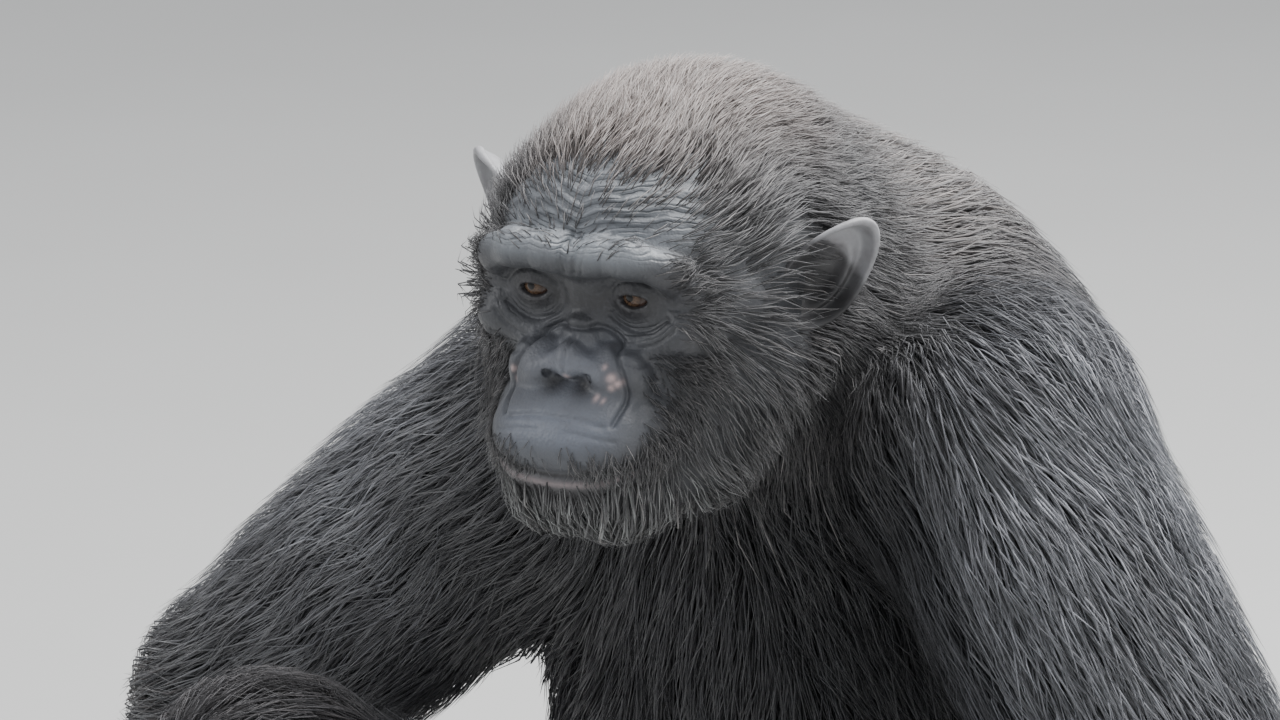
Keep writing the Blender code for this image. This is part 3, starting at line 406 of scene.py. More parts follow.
def new_object(name, points, faces, smooth=True):
    """An object of the points and faces, its place in its mesh."""
    mesh = bpy.data.meshes.new(name)
    faces = np.asarray(faces)
    corners = faces.shape[1]
    mesh.vertices.add(len(points))
    mesh.vertices.foreach_set("co", np.asarray(points, np.float32).ravel())
    mesh.loops.add(faces.size)
    mesh.loops.foreach_set("vertex_index", faces.astype(np.int32).ravel())
    mesh.polygons.add(len(faces))
    mesh.polygons.foreach_set("loop_start", np.arange(0, faces.size, corners, dtype=np.int32))
    mesh.update(calc_edges=True)
    mesh.polygons.foreach_set("use_smooth", np.full(len(faces), smooth))
    thing = bpy.data.objects.new(name, mesh)
    bpy.context.scene.collection.objects.link(thing)
    return thing


def points_of(mesh):
    """The mesh's points, one a row."""
    flat = np.empty(len(mesh.vertices) * 3)
    mesh.vertices.foreach_get("co", flat)
    return flat.reshape(-1, 3)


def set_points(mesh, points):
    """The mesh's points put at other places."""
    mesh.vertices.foreach_set("co", points.astype(np.float32).ravel())


def set_attribute(mesh, name, kind, values):
    """One value a point: a number, a vector or a colour with alpha 1."""
    layer = mesh.attributes.new(name, kind, "POINT")
    if kind == "FLOAT_COLOR":
        values = np.concatenate([values, np.ones((len(values), 1))], 1)
    key = {"FLOAT": "value", "FLOAT_VECTOR": "vector", "FLOAT_COLOR": "color"}[kind]
    layer.data.foreach_set(key, np.asarray(values, np.float32).ravel())


def applied(thing, kind, **settings):
    """One modifier applied to the object's mesh."""
    modifier = thing.modifiers.new(kind, kind)
    for key, value in settings.items():
        setattr(modifier, key, value)
    shape = thing.evaluated_get(bpy.context.evaluated_depsgraph_get())
    mesh = bpy.data.meshes.new_from_object(shape)
    old = thing.data
    thing.modifiers.clear()
    thing.data = mesh
    bpy.data.meshes.remove(old)


def field_values(field, low, counts, coarse):
    """The field on a fine grid, worked out only near its zero: the coarse grid finds the blocks that may hold
    it, and elsewhere a fine point takes its block's coarse value."""
    shape = tuple(counts * BLOCK + 1)
    axes = [low[i] + coarse * np.arange(counts[i] + 1) for i in range(3)]
    rough = np.stack(np.meshgrid(*axes, indexing="ij"), -1).reshape(-1, 3)
    rough = in_batches(field, rough).reshape(counts + 1)
    nearest = np.full(counts, np.inf)
    for i, j, k in np.ndindex(2, 2, 2):
        corner = np.abs(rough[i:i + counts[0], j:j + counts[1], k:k + counts[2]])
        nearest = np.minimum(nearest, corner)
    active = nearest < coarse
    for axis in range(3):
        active = np.repeat(active, BLOCK, axis)
    needed = np.zeros(shape, bool)
    for i, j, k in np.ndindex(2, 2, 2):
        needed[i:shape[0] - 1 + i, j:shape[1] - 1 + j, k:shape[2] - 1 + k] |= active
    index = [np.minimum(np.arange(n) // BLOCK, c) for n, c in zip(shape, counts)]
    value = rough[np.ix_(*index)].astype(np.float32)
    spots = np.argwhere(needed)
    value[needed] = in_batches(field, low + spots * (coarse / BLOCK))
    return value


def surface_net(value, low, cell):
    """Surface nets: one point in each cell that the surface crosses, at the mean of its edge crossings, and
    one quad round each crossed edge."""
    inside = value < 0
    cells = tuple(n - 1 for n in value.shape)
    keys, places, rings = [], [], []
    for a in range(3):
        lo, hi = [slice(None)] * 3, [slice(None)] * 3
        lo[a], hi[a] = slice(0, -1), slice(1, None)
        crossed = np.argwhere(inside[tuple(lo)] != inside[tuple(hi)])
        v0, v1 = value[tuple(lo)][tuple(crossed.T)], value[tuple(hi)][tuple(crossed.T)]
        where = crossed.astype(float)
        where[:, a] += v0 / (v0 - v1)
        b, c = [(1, 2), (2, 0), (0, 1)][a]
        ring = []
        for back_b, back_c in ((0, 0), (-1, 0), (-1, -1), (0, -1)):
            spot = crossed.copy()
            spot[:, b] += back_b
            spot[:, c] += back_c
            key = np.ravel_multi_index(tuple(spot.T), cells)
            keys.append(key)
            places.append(where)
            ring.append(key)
        ring = np.stack(ring, 1)
        rings.append(np.where(inside[tuple(lo)][tuple(crossed.T)][:, None], ring, ring[:, ::-1]))
    used, index = np.unique(np.concatenate(keys), return_inverse=True)
    places = np.concatenate(places)
    count = np.bincount(index)[:, None]
    total = np.stack([np.bincount(index, places[:, i]) for i in range(3)], 1)
    return low + total / count * cell, np.searchsorted(used, np.concatenate(rings))


# The skin

def crease(spot, points, width, depth):
    """A groove as seen from the front: its depth, times a bell across a rounded line through the points."""
    flat = [vec(*point) for point in points]
    for _ in range(2):
        between = [(0.75 * a + 0.25 * b, 0.25 * a + 0.75 * b) for a, b in zip(flat, flat[1:])]
        flat = [flat[0], *[corner for pair in between for corner in pair], flat[-1]]
    near = np.min([bone(spot, a, b, 0, 0) for a, b in zip(flat, flat[1:])], 0)
    return -depth * np.exp(-(near / width) ** 2)


# Points across and up in the head's frame, mm, then half width and depth
FOLDS = (
    (((0, -14), (11, -15), (22, -20), (30, -31), (33, -44), (31, -55)), 1.4, 2.6),      # round the nose
    (((0, -53), (14, -53), (27, -56)), 1.3, 1.3), (((8, -59), (20, -60), (33, -63)), 1.2, 0.7),   # under it
    (((14, -9), (19, -14), (28, -17), (37, -15), (45, -9)), 1.1, 1.2),                   # under the eye
    (((17, -18), (22, -22), (30, -24.5), (42, -22), (51, -13)), 1.2, 1.2),
    (((29, -27), (36, -31), (45, -31), (54, -26)), 1.4, 1.1),
    (((15, 3), (21, 9), (30, 11), (39, 8), (45, 1)), 1.0, 1.0),                          # over the eye
    (((2, 33), (4, 26), (3, 15)), 1.4, 1.6),                                             # between the brows
    (((10, 33), (11, 26), (9, 17)), 1.0, 0.7), (((19, 33), (21, 24), (20, 17)), 0.9, 0.5),
    (((28, 34), (31, 26), (30, 18)), 0.9, 0.4),
    (((38, -50), (45, -60), (49, -74), (46, -88)), 2.6, 1.4),                            # beside the mouth
    (((46, 0), (58, 7)), 1.0, 0.8), (((47, -4), (60, -2)), 1.0, 0.8), (((46, -9), (58, -12)), 1.0, 0.7),
    (((36, -93), (20, -98), (0, -99)), 2.5, 1.0))                                        # under the lower lip


def fold_height(p):
    """How far each point of the skin moves along its normal, mm: folds and forehead wrinkles on the front of
    the head. The wrinkles are waves that follow the arcs of the brows."""
    q = to_head(p)
    spot = np.stack([np.abs(q[..., 0]), q[..., 2]], -1)
    front = fade(q[..., 1], 8, 40)
    height = np.zeros(p.shape[:-1])
    for points, width, depth in FOLDS:
        height += crease(spot, points, width, depth) * front
    off_middle = ((1.5, -18), (2.0, -26), (0.5, -34))
    height += crease(np.stack([q[..., 0], q[..., 2]], -1), off_middle, 1.1, 1.3) * front
    over = q[..., 2] - 34 + 0.006 * (spot[..., 0] - 24) ** 2
    over = over - 1.2 * np.sin(q[..., 0] * 0.21 + q[..., 2] * 0.13)
    band = ramp(over, -1, 5) * fade(over, 26, 42) * fade(spot[..., 0], 46, 64)
    height += 0.55 * np.cos(over * math.tau / 5.0) * band * fade(q[..., 1], 30, 62)
    lip = bump(q[..., 2], -86, 3.5) * fade(spot[..., 0], 36, 46) * front
    return height + 1.2 * lip


def wrinkle_places(p):
    """For the fine wrinkles, how far each point lies over the arcs of the brows and how far from the nearer
    eye, mm, each with the share in which those wrinkles show."""
    q = to_head(p)
    x, z = np.abs(q[:, 0]), q[:, 2]
    front = fade(q[:, 1], 25, 60)
    over = z - 34 + 0.006 * (x - 24) ** 2
    brow = ramp(over, -9, -1) * fade(over, 12, 40) * fade(x, 50, 66) * front
    away = np.sqrt((x - 28) ** 2 + (1.25 * (z + 2)) ** 2)
    ring = ramp(away, 11, 15) * fade(away, 22, 32) * fade(z, -12, -2) * ramp(x, 8, 16) * front
    none = 0 * x
    return np.stack([over, brow, none], 1), np.stack([away, ring, none], 1)


def refined(mesh, chosen):
    """The mesh with each face split in four where all its points are chosen."""
    shape = bmesh.new()
    shape.from_mesh(mesh)
    shape.verts.ensure_lookup_table()
    faces = [face for face in shape.faces if all(chosen[v.index] for v in face.verts)]
    edges = list({edge for face in faces for edge in face.edges})
    bmesh.ops.subdivide_edges(shape, edges=edges, cuts=1, use_grid_fill=True)
    shape.to_mesh(mesh)
    shape.free()


def settled(points):
    """The points moved onto the flesh's surface, by the field's value along its slope."""
    points = points - in_batches(lambda p: gradient(skin_field, p) * skin_field(p)[:, None], points)
    points[:, 2] = np.maximum(points[:, 2], 0)
    return points


def make_skin():
    """The one skin of the animal: the net on the grid, split twice over the face, settled and folded, and
    then thinned outside the head, hands and feet."""
    low, high = vec(-0.50, -0.60, -0.006), vec(0.41, 0.16, 0.71)
    coarse = CELL * BLOCK
    counts = np.ceil((high - low) / coarse).astype(int)
    value = field_values(skin_field, low, counts, coarse)
    points, quads = surface_net(value, low, CELL)
    skin = new_object("skin", points, quads)
    for half in (vec(78, 46, 96), vec(54, 24, 80)):
        points = points_of(skin.data)
        q = to_head(points)
        inside = (np.abs(q[:, 0]) < half[0]) & (q[:, 1] < half[1]) & (np.abs(q[:, 2] + 18) < half[2])
        points[inside] = settled(points[inside])
        set_points(skin.data, points)
        refined(skin.data, inside)
    points = settled(points_of(skin.data))
    close = length(to_head(points)) < FACE_REACH
    points[close] = settled(points[close])
    normal = gradient(skin_field, points[close])
    points[close] += normal * (fold_height(points[close]) * MM)[:, None]
    set_points(skin.data, points)
    fine = np.maximum(fade(length(points - EYES), 0.12, 0.16), ramp(bareness(points), 0.3, 0.9))
    group = skin.vertex_groups.new(name="coarse")
    for level in (0.25, 0.5, 0.75, 1.0):
        chosen = np.flatnonzero((1 - fine > level - 0.25) & (1 - fine <= level))
        group.add(chosen.tolist(), level, "REPLACE")
    applied(skin, "TRIANGULATE")
    total = len(skin.data.polygons)
    plain = float(np.mean(fine < 0.05)) * total
    applied(skin, "DECIMATE", ratio=1 - (plain - BODY_TRIANGLES) / total, vertex_group="coarse",
            vertex_group_factor=4.0)
    skin.data.polygons.foreach_set("use_smooth", np.full(len(skin.data.polygons), True))
    return skin


# The coat

def lie(p, normal):
    """Direction along the skin in which the coat lies: away from the nape over the trunk, down the upper
    arms and legs, up the forearms to the elbows, and back over the head from the face. Each form's way counts
    by how near it is, and slow waves bend the whole a little."""
    spread = 0.018
    total = np.exp(-torso(p) / spread)[:, None] * normalised(p - NAPE)
    total += np.exp(-neck(p) / spread)[:, None] * unit((0, 0.9, -0.45))
    back = to_head(p) - vec(0, -10, -5)
    back[:, 2] -= 0.8 * ramp(-back[:, 2], -15, 65) * (50 + back[:, 1])
    back = from_head(back) - EYES
    total += np.exp(-near_only(head, p, EYES, 0.30, 0.10) / spread)[:, None] * normalised(back)
    for start, end, radius, sense in ((SHOULDER, ELBOW, 0.052, 1), (ELBOW, WRIST, 0.036, -1),
                                      (HIP, KNEE, 0.062, 1), (KNEE, ANKLE, 0.042, 1)):
        for side in SIDES:
            way = sense * unit(end[side] - start[side])
            total += np.exp(-bone(p, start[side], end[side], radius, radius) / spread)[:, None] * way
    total = normalised(total - (total * normal).sum(-1)[:, None] * normal)
    bend = 0.16 * np.sin(p @ vec(61, 37, 43)) + 0.12 * np.sin(p @ vec(-47, 83, -59) + 1.7)
    bend += 0.12 * np.sin(p @ vec(131, -97, 113) + 0.6) + 0.10 * np.sin(p @ vec(-211, 257, 189) + 2.1)
    return normalised(total + bend[:, None] * np.cross(normal, total))


PARTS = ("head", "trunk", "arm_left", "arm_right", "leg_left", "leg_right")


def part_of(p, limbs):
    """Number of the body's part that each point lies on, in the order of PARTS."""
    skull = near_only(head, p, EYES, 0.30, 0.10)
    trunk = np.minimum(torso(p), neck(p))
    return np.argmin(np.stack([skull, trunk, *limbs]), 0)


def unwrapped(p, part):
    """A place on a flat map for points of the skin, all on one part: every part has its own tile, three tiles
    across and two up, with the angle round its axis across the tile and the way along it upward."""
    axes = [(EYES + vec(0, 0.08, -0.18), EYES + vec(0, 0.08, 0.14)), (vec(0, -0.03, 0), vec(0, -0.10, 0.62))]
    axes += [(SHOULDER[side], WRIST[side]) for side in SIDES] + [(HIP[side], ANKLE[side]) for side in SIDES]
    start, end = axes[part]
    line = end - start
    first = unit(np.cross(line, (0.2, 0.1, 0.05) if part > 1 else (1, 0, 0)))
    second = np.cross(unit(line), first)
    rel = p - start
    u = (np.arctan2(rel @ second, rel @ first) / math.tau + 0.5 + part % 3 * 1.1) / 3.3
    v = (np.clip(rel @ line / (line @ line), -0.4, 1.4) + 0.4 + part // 3 * 2) / 4
    return np.stack([0.01 + 0.98 * u, 0.01 + 0.98 * v], 1)


def painted(base, layers):
    """The base colour at every point with each layer over it: the colour goes that layer's share of the way
    to the layer's own."""
    tint = vec(*base)
    for colour, share in layers:
        tint = tint + (vec(*colour) - tint) * np.clip(share, 0, 1)[:, None]
    return tint


def coat_tint(p, random):
    """Colour of the coat at each root: black, with painted sheen in blue-grey streaks on the shoulders and
    arms, stronger higher up; brown-grey on the crown and nape and brown on the back's upper edge, each partly
    the hair's own colour and partly painted sheen, the crown lighter toward the top; painted shade, near
    black, under the chest; brown on the forearms and knees, with some grey hairs on the head and a grey
    beard. Each tuft has its own shade."""
    q = to_head(p)
    count = len(p)
    near_head = fade(length(q - vec(0, 50, -15)), 118, 160)
    above = ramp(p[:, 2], 0.30, 0.56)
    outward = ramp(np.abs(p[:, 0]), 0.08, 0.20) * ramp(p[:, 2], 0.20, 0.42) * (1 - near_head)
    streak = random.choice((0.3, 0.6, 1.0), count, p=(0.35, 0.35, 0.30))
    mottled = 0.6 + 0.4 * streak
    nape = fade(length(p - NAPE - vec(0, 0, 0.09)), 0.07, 0.15) * (1 - near_head)
    under = fade(p[:, 1], -0.20, -0.10) * fade(p[:, 2], 0.42, 0.52) * fade(np.abs(p[:, 0]), 0.10, 0.20)
    layers = [
        ((0.500, 0.515, 0.560), 0.95 * outward * (0.15 + 0.85 * above) * streak),      # painted sheen of the sky on the black hair of the shoulders and arms, more higher up
        ((0.400, 0.345, 0.320), near_head * ramp(q[:, 2], 20, 80) * mottled),          # crown: brown-grey hair, lighter toward the top as painted sheen
        ((0.110, 0.108, 0.110), 0.9 * near_head * fade(q[:, 2], 20, 70) * mottled),    # lower head
        ((0.300, 0.265, 0.240), 0.7 * ramp(p[:, 1], -0.06, 0.04) * above * streak),    # the back's edge: brown hair, with painted sheen high up
        # the nape: brown-grey hair, and painted sheen
        ((0.400, 0.362, 0.345), 0.9 * nape * streak),
        # painted shade under the chest
        ((0.042, 0.043, 0.047), 0.85 * under)]
    for side in SIDES:
        knee = fade(length(p - KNEE[side]), 0.05, 0.11)
        low_arm = fade(bone(p, ELBOW[side], WRIST[side], 0.03, 0.03), 0.01, 0.05)
        layers.append(((0.110, 0.088, 0.078), 0.35 * knee * streak))
        layers.append(((0.095, 0.070, 0.060), 0.5 * low_arm * (streak > 0.9)))
    grey = (near_head > 0.5) & (random.random(count) < 0.05 + 0.10 * ramp(q[:, 2], 50, 90))
    layers.append(((0.42, 0.40, 0.39), grey * 0.6))
    beard = (length(q) < 160) * fade(q[:, 1], 0, 50) * fade(q[:, 2], -88, -66)
    beard = beard * random.choice((0.10, 0.45, 0.95), count, p=(0.45, 0.35, 0.20))
    layers.append(((0.36, 0.37, 0.365), beard))
    return painted((0.060, 0.060, 0.065), layers) * np.exp(random.normal(0, 0.16, (count, 1)))


def tuft_arrays(roots, part, reach, width, rise, sway, tint, random):
    """Tufts as closed three-sided tapers: points, triangles, colours and flat map. A tuft's middle line is
    traced step by step along the lie, lifted over the skin as rise says for each station, and every station
    but the last has its two sides and its ridge."""
    count, rows = len(roots), len(STATIONS) - 1
    place = roots
    turn = random.normal(0, sway, (count, 1))
    curl = random.normal(0, 0.5 * sway, (count, 1))
    points = []
    for station in range(rows + 1):
        normal = gradient(skin_field, place)
        way = lie(place, normal)
        way = normalised(way + (turn + curl * station) * np.cross(normal, way))
        if station:
            step = STATIONS[station] - STATIONS[station - 1]
            place = place + way * (step * reach)[:, None]
            place = place - normal * skin_field(place)[:, None]
        centre = place + normal * rise[station][:, None]
        if station == rows:
            points.append(centre[:, None])
            break
        half = 0.5 * width * STATION_WIDTHS[station]
        aside = normalised(np.cross(normal, way))
        points.append(np.stack([centre - aside * half[:, None], centre + aside * half[:, None],
                                centre + normal * (RIDGE * half)[:, None]], 1))
    points = np.concatenate(points, 1)
    points[..., 2] = np.maximum(points[..., 2], LEAST_HEIGHT)
    faces = [(0, 1, 2)]
    for i in range(rows - 1):
        for j in range(3):
            k = (j + 1) % 3
            a, b, c, d = 3 * i + j, 3 * i + k, 3 * i + 3 + k, 3 * i + 3 + j
            faces += [(a, c, b), (a, d, c)]
    for j in range(3):
        faces.append((3 * rows - 3 + j, 3 * rows, 3 * rows - 3 + (j + 1) % 3))
    faces = np.array(faces)
    along = np.concatenate([np.repeat(STATIONS[:-1], 3), [1.0]])
    across = np.concatenate([np.tile((0.0, 1.0, 0.5), rows), [0.5]])
    triangles = (faces[None] + points.shape[1] * np.arange(count)[:, None, None]).reshape(-1, 3)
    # painted shade: each tuft darker toward its root, lighter toward its tip
    shade = tint[:, None] * (ROOT_SHADE + SHADE_GAIN * along)[None, :, None]
    patch = np.stack([across - 0.5, along - 0.5], -1) * PATCH
    flat = unwrapped(roots, part)[:, None] + patch[None]
    return points.reshape(-1, 3), triangles, shade.reshape(-1, 3), flat.reshape(-1, 2)


def add_coat(name, arrays, material):
    """A piece of the coat, with its tint and its flat map."""
    points, triangles, shade, flat = arrays
    piece = new_object(name, points, triangles)
    set_attribute(piece.data, "tint", "FLOAT_COLOR", shade)
    layer = piece.data.uv_layers.new(name="OFBake")
    layer.data.foreach_set("uv", flat[triangles.ravel()].astype(np.float32).ravel())
    piece.data.materials.append(material)
    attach(piece, "root")


def scattered(skin, density, random):
    """Points over the skin's triangles, picked by area times the density at their middles, in tufts a square
    metre."""
    mesh = skin.data
    corners = np.empty(len(mesh.polygons) * 3, int)
    mesh.polygons.foreach_get("vertices", corners)
    triangles = points_of(mesh)[corners.reshape(-1, 3)]
    a, b, c = triangles.transpose(1, 0, 2)
    area = 0.5 * length(np.cross(b - a, c - a))
    weight = area * density(triangles.mean(1))
    picks = random.choice(len(area), int(weight.sum()), p=weight / weight.sum())
    u, v = np.sqrt(random.random((len(picks), 1))), random.random((len(picks), 1))
    return a[picks] * (1 - u) + b[picks] * u * (1 - v) + c[picks] * u * v


def head_share(p):
    """1 on the head, 0 behind the neck's front."""
    return fade(length(to_head(p) - vec(0, 70, -10)), 112, 150)


def body_density(p):
    """Full on the trunk and arms, thinner on the legs, none on the head, fingers and toes."""
    full = ramp(coat_depth(p, forms(p)[0]), 0.001, 0.008) * (1 - head_share(p)) * (p[:, 2] > 0.008)
    for past, away in past_ends(p):
        full = full * (1 - ramp(past, 0.0, 0.012) * (away < 0.25))
    return full * (70000 + 50000 * ramp(p[:, 2], 0.20, 0.34))


def head_density(p):
    """Full on the crown, thinner on the temples and cheeks, sparse on the forehead and round the ears."""
    q = to_head(p)
    full = ramp(coat_depth(p, forms(p)[0]), 0.0015, 0.008)
    full = full * (0.22 + 0.78 * ramp(q[:, 1] + 0.5 * q[:, 2], 30, 80))
    forehead = ramp(q[:, 2], 26, 36) * fade(q[:, 2], 46, 62) * fade(np.abs(q[:, 0]), 40, 62)
    full = full * (1 - 0.6 * forehead * fade(q[:, 1], 40, 80))
    near_ear = fade(length(q * vec(1, 1, 0.8) - vec(86, 76, -4)), 26, 38)
    return 380000 * np.maximum(full, 0.10 * ramp(q[:, 2], 20, 34)) * head_share(p) * (1 - 0.9 * near_ear)


def beard_density(p):
    """Short hairs on the chin, round the corners of the mouth and, thinly, on the upper lip, lower cheeks and
    temples."""
    q = to_head(p)
    x, z = np.abs(q[:, 0]), q[:, 2]
    chin = fade(z, -97, -90)
    corner = ramp(x, 38, 46) * fade(z, -70, -58) * ramp(z, -100, -92)
    lip = 0.25 * ramp(z, -82, -80) * fade(z, -72, -62) * ramp(x, 0, 30)
    cheek = 0.35 * ramp(x, 36, 52) * fade(z, -34, -22)
    temple = 0.30 * ramp(x, 50, 60) * ramp(z, -20, -10) * fade(z, 20, 40)
    share = np.max([chin, corner, lip, cheek, temple], 0) * ramp(bareness(p), 0.25, 0.6)
    return 1100000 * share * fade(q[:, 1], 30, 60) * (length(q) < FACE_REACH)


# Name, density, share of the height at each station, sway, least and most depth, least length, length a depth
# and width
COATS = (
    ("body", body_density, (-0.04, 0.80, 1.0), 0.09, 0.0, 1.0, 0.020, 2.1, 0.00100),
    ("head", head_density, (-0.04, 0.70, 1.0), 0.12, 0.0, 0.022, 0.009, 1.1, 0.00060),
    ("beard", beard_density, (-0.04, 0.60, 1.0), 0.25, 0.004, 0.006, 0.006, 1.2, 0.00050))


def make_coat(skin, material):
    """Long tufts on the body, short ones on the head and finer ones on the face, in pieces by the body's
    parts. A tuft's length grows with the coat's depth, and its tip stands at a share of that depth."""
    random = np.random.default_rng(11)
    for kind, density, lift, sway, low, high, least, longer, wide in COATS:
        roots = scattered(skin, density, random)
        count = len(roots)
        limbs = forms(roots)[0]
        depth = np.clip(coat_depth(roots, limbs), low, high)
        reach = (least + longer * depth) * random.uniform(0.70, 1.30, count)
        width = wide * random.uniform(0.6, 1.35, count)
        tall = depth * (0.25 + 0.75 * random.random(count) ** 0.8)
        rise = [share * tall + LEAST_LIFT for share in lift]
        tint = coat_tint(roots, random)
        part = part_of(roots, limbs)
        for number, word in enumerate(PARTS):
            chosen = np.flatnonzero(part == number)
            pieces = len(chosen) * TUFT_TRIANGLES // PIECE_TRIANGLES + 1
            groups = np.array_split(chosen, pieces) if len(chosen) else []
            for order, group in enumerate(groups):
                arrays = tuft_arrays(roots[group], number, reach[group], width[group],
                                     [r[group] for r in rise], sway, tint[group], random)
                add_coat(f"coat_{kind}_{word}_{order + 1}", arrays, material)


# Ears, eyes and nails

def grid_faces(rows, columns):
    """Quads of a grid whose columns close in a ring."""
    i = np.arange(rows - 1)[:, None]
    j = np.arange(columns)[None, :]
    k = (j + 1) % columns
    corners = (i * columns + j, i * columns + k, (i + 1) * columns + k, (i + 1) * columns + j)
    return np.stack([c + 0 * (i + j) for c in corners], -1).reshape(-1, 4)


def closed_rings(name, rings):
    """A closed surface through rings of points; the first and the last ring lie each in one spot."""
    thing = new_object(name, rings.reshape(-1, 3), grid_faces(*rings.shape[:2]))
    shape = bmesh.new()
    shape.from_mesh(thing.data)
    bmesh.ops.remove_doubles(shape, verts=shape.verts, dist=1e-6)
    bmesh.ops.recalc_face_normals(shape, faces=shape.faces)
    shape.to_mesh(thing.data)
    shape.free()
    return thing


def unit_sphere(rows, turns):
    """The angles from one pole to the other, and rings of points on a ball of radius 1 at those angles."""
    theta = np.linspace(0, math.pi, rows)[:, None]
    phi = np.linspace(0, math.tau, turns, endpoint=False)[None, :]
    round_pole = np.sin(theta)
    return theta, np.stack([round_pole * np.cos(phi), round_pole * np.sin(phi), np.cos(theta) + 0 * phi], -1)


def make_ear(side, material):
    """One ear, a cupped leaf. Angle round the leaf and way from its middle to the rim, round the rim, and
    back to the middle behind. The front has a bowl, a ridge round the bowl, a furrow and the rolled rim."""
    turns = 72
    phi = np.linspace(0, math.tau, turns, endpoint=False)[None, :]
    front_t = np.linspace(0, 1, 26) ** 0.8
    edge = np.linspace(0, math.pi, 7)[1:-1]
    t = np.concatenate([front_t, np.ones(len(edge)), front_t[::-1]])[:, None]
    behind = np.concatenate([0 * front_t, (1 - np.cos(edge)) / 2, 0 * front_t + 1])[:, None]
    swell = np.concatenate([0 * front_t, np.sin(edge), 0 * front_t])[:, None]
    c = np.cos(phi)
    outer = ramp(c, -0.55, 0.2)
    width, height = EAR_WIDTH / MM, EAR_HEIGHT / MM
    across = width * (0.5 + 0.5 * c * t) + 1.6 * swell * c
    tall = height * 0.5 * np.sin(phi) * t * (1 - 0.16 * (1 - c) * t) + 1.6 * swell * np.sin(phi)
    bowl = 11 * (1 - t * t)
    ridge = -3.4 * np.exp(-((t - 0.56 + 0.05 * np.sin(phi)) / 0.12) ** 2) * ramp(c, -0.3, 0.5)
    furrow = 1.6 * bump(t, 0.78, 0.08) * outer
    roll = -4.0 * bump(t, 0.95, 0.08) * outer * (0.55 + 0.45 * ramp(np.sin(phi), -0.8, 0.3))
    tragus = -3.0 * np.exp(-((t - 0.75) / 0.2) ** 2 - ((phi - 3.55) / 0.35) ** 2)
    wave = 0.7 * np.sin(3 * phi + 1.0) * t ** 3 + 0.5 * np.sin(5 * phi + 2.2) * t ** 4
    front = bowl + ridge + furrow + roll + tragus + wave
    back = bowl + wave + 0.35 * (ridge + roll) + 4.2 - 1.4 * t ** 4
    deep = front + (back - front) * behind
    out, up = unit((0.66, 0.66, 0.15)), unit((0.33, 0.13, 0.93))
    inward = unit(np.cross(up, out))
    root = vec(*EAR_ROOT[side]) / MM
    q = root + across[..., None] * out + tall[..., None] * up + deep[..., None] * inward
    q[..., 0] *= side
    ear = closed_rings(f"ear_{SIDES[side]}_skin", from_head(q))
    leaf = to_head(points_of(ear.data)) * vec(side, 1, 1) - root
    leaf_x, leaf_y = leaf @ out / width, leaf @ up / height
    radius = np.sqrt(((leaf_x - 0.5) * 2) ** 2 + (leaf_y * 2) ** 2)
    # painted highlight: the rim lighter along the top of the ear
    rim = ramp(radius, 0.78, 0.95) * ramp(leaf_x, 0.25, 0.6)
    # painted shade: the ear darker in the middle of its bowl
    bowl_painted_shade = fade(radius, 0.25, 0.75)
    high = ramp(leaf_y, -0.1, 0.4)
    colour = vec(0.095, 0.094, 0.097) + (rim * high)[:, None] * vec(0.240, 0.242, 0.250)
    set_attribute(ear.data, "tint", "FLOAT_COLOR", colour * (1 - 0.6 * bowl_painted_shade)[:, None])
    ear.data.materials.append(material)
    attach(ear, "root")
    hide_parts(f"ear_{SIDES[side]}")


def make_eye(side, material):
    """One eyeball with its cornea standing out as a bell, its poles on the line of sight. The attribute gives
    each point's direction from the middle, for the iris."""
    theta, rel = unit_sphere(36, 48)
    r = EYE_RADIUS - 0.0002 + 0.0011 * np.exp(-(theta / 0.42) ** 2)
    sight = unit((-0.13, -1.0, -0.05))
    first = unit(np.cross(sight, (0, 0, 1)))
    second = np.cross(first, sight)
    x, y, z = EYE_PLACE
    centre = from_head(vec(x * side, y, z) / MM)
    rings = centre + r[..., None] * (rel[..., :1] * first + rel[..., 1:2] * second + rel[..., 2:] * sight)
    eye = closed_rings(f"eye_{SIDES[side]}_ball", rings)
    local = normalised(points_of(eye.data) - centre)
    axes = np.stack([local @ first, local @ second, local @ sight], 1)
    set_attribute(eye.data, "sight", "FLOAT_VECTOR", axes)
    eye.data.materials.append(material)
    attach(eye, "root")
    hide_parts(f"eye_{SIDES[side]}")


def make_nails(material):
    """A curved plate on top of the last joint of each finger and toe: a flattened ball, arched across and
    bent down toward the tip."""
    places = []
    for side in SIDES:
        for (lines, single), many, one in ((finger_lines(side), FINGER_RADII, THUMB_RADII),
                                           (toe_lines(side), TOE_RADII, BIG_TOE_RADII)):
            places += [(line[-2], line[-1], many[-1]) for line in lines]
            places.append((single[-2], single[-1], one[-1]))
    start, tip, size = (np.array(column) for column in zip(*places))
    ahead = normalised(tip - start)
    aside = normalised(np.cross(ahead, vec(0, 0, 1)))
    top = np.cross(aside, ahead)
    a, b, h = np.moveaxis(unit_sphere(8, 16)[1], -1, 0)[:, None]
    wide = size[:, None, None]
    place = tip[:, None, None] + (0.25 + 0.75 * b)[..., None] * wide[..., None] * ahead[:, None, None]
    place = place + (0.62 * a * wide)[..., None] * aside[:, None, None]
    lift = wide * (0.84 - 0.34 * a ** 2 - 0.42 * np.maximum(b, 0) ** 2) + 0.0011 * h
    place = place + lift[..., None] * top[:, None, None]
    for number, rings in enumerate(place):
        nail = closed_rings(f"nail_{number + 1}", rings)
        nail.data.materials.append(material)
        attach(nail, "root")


# Materials

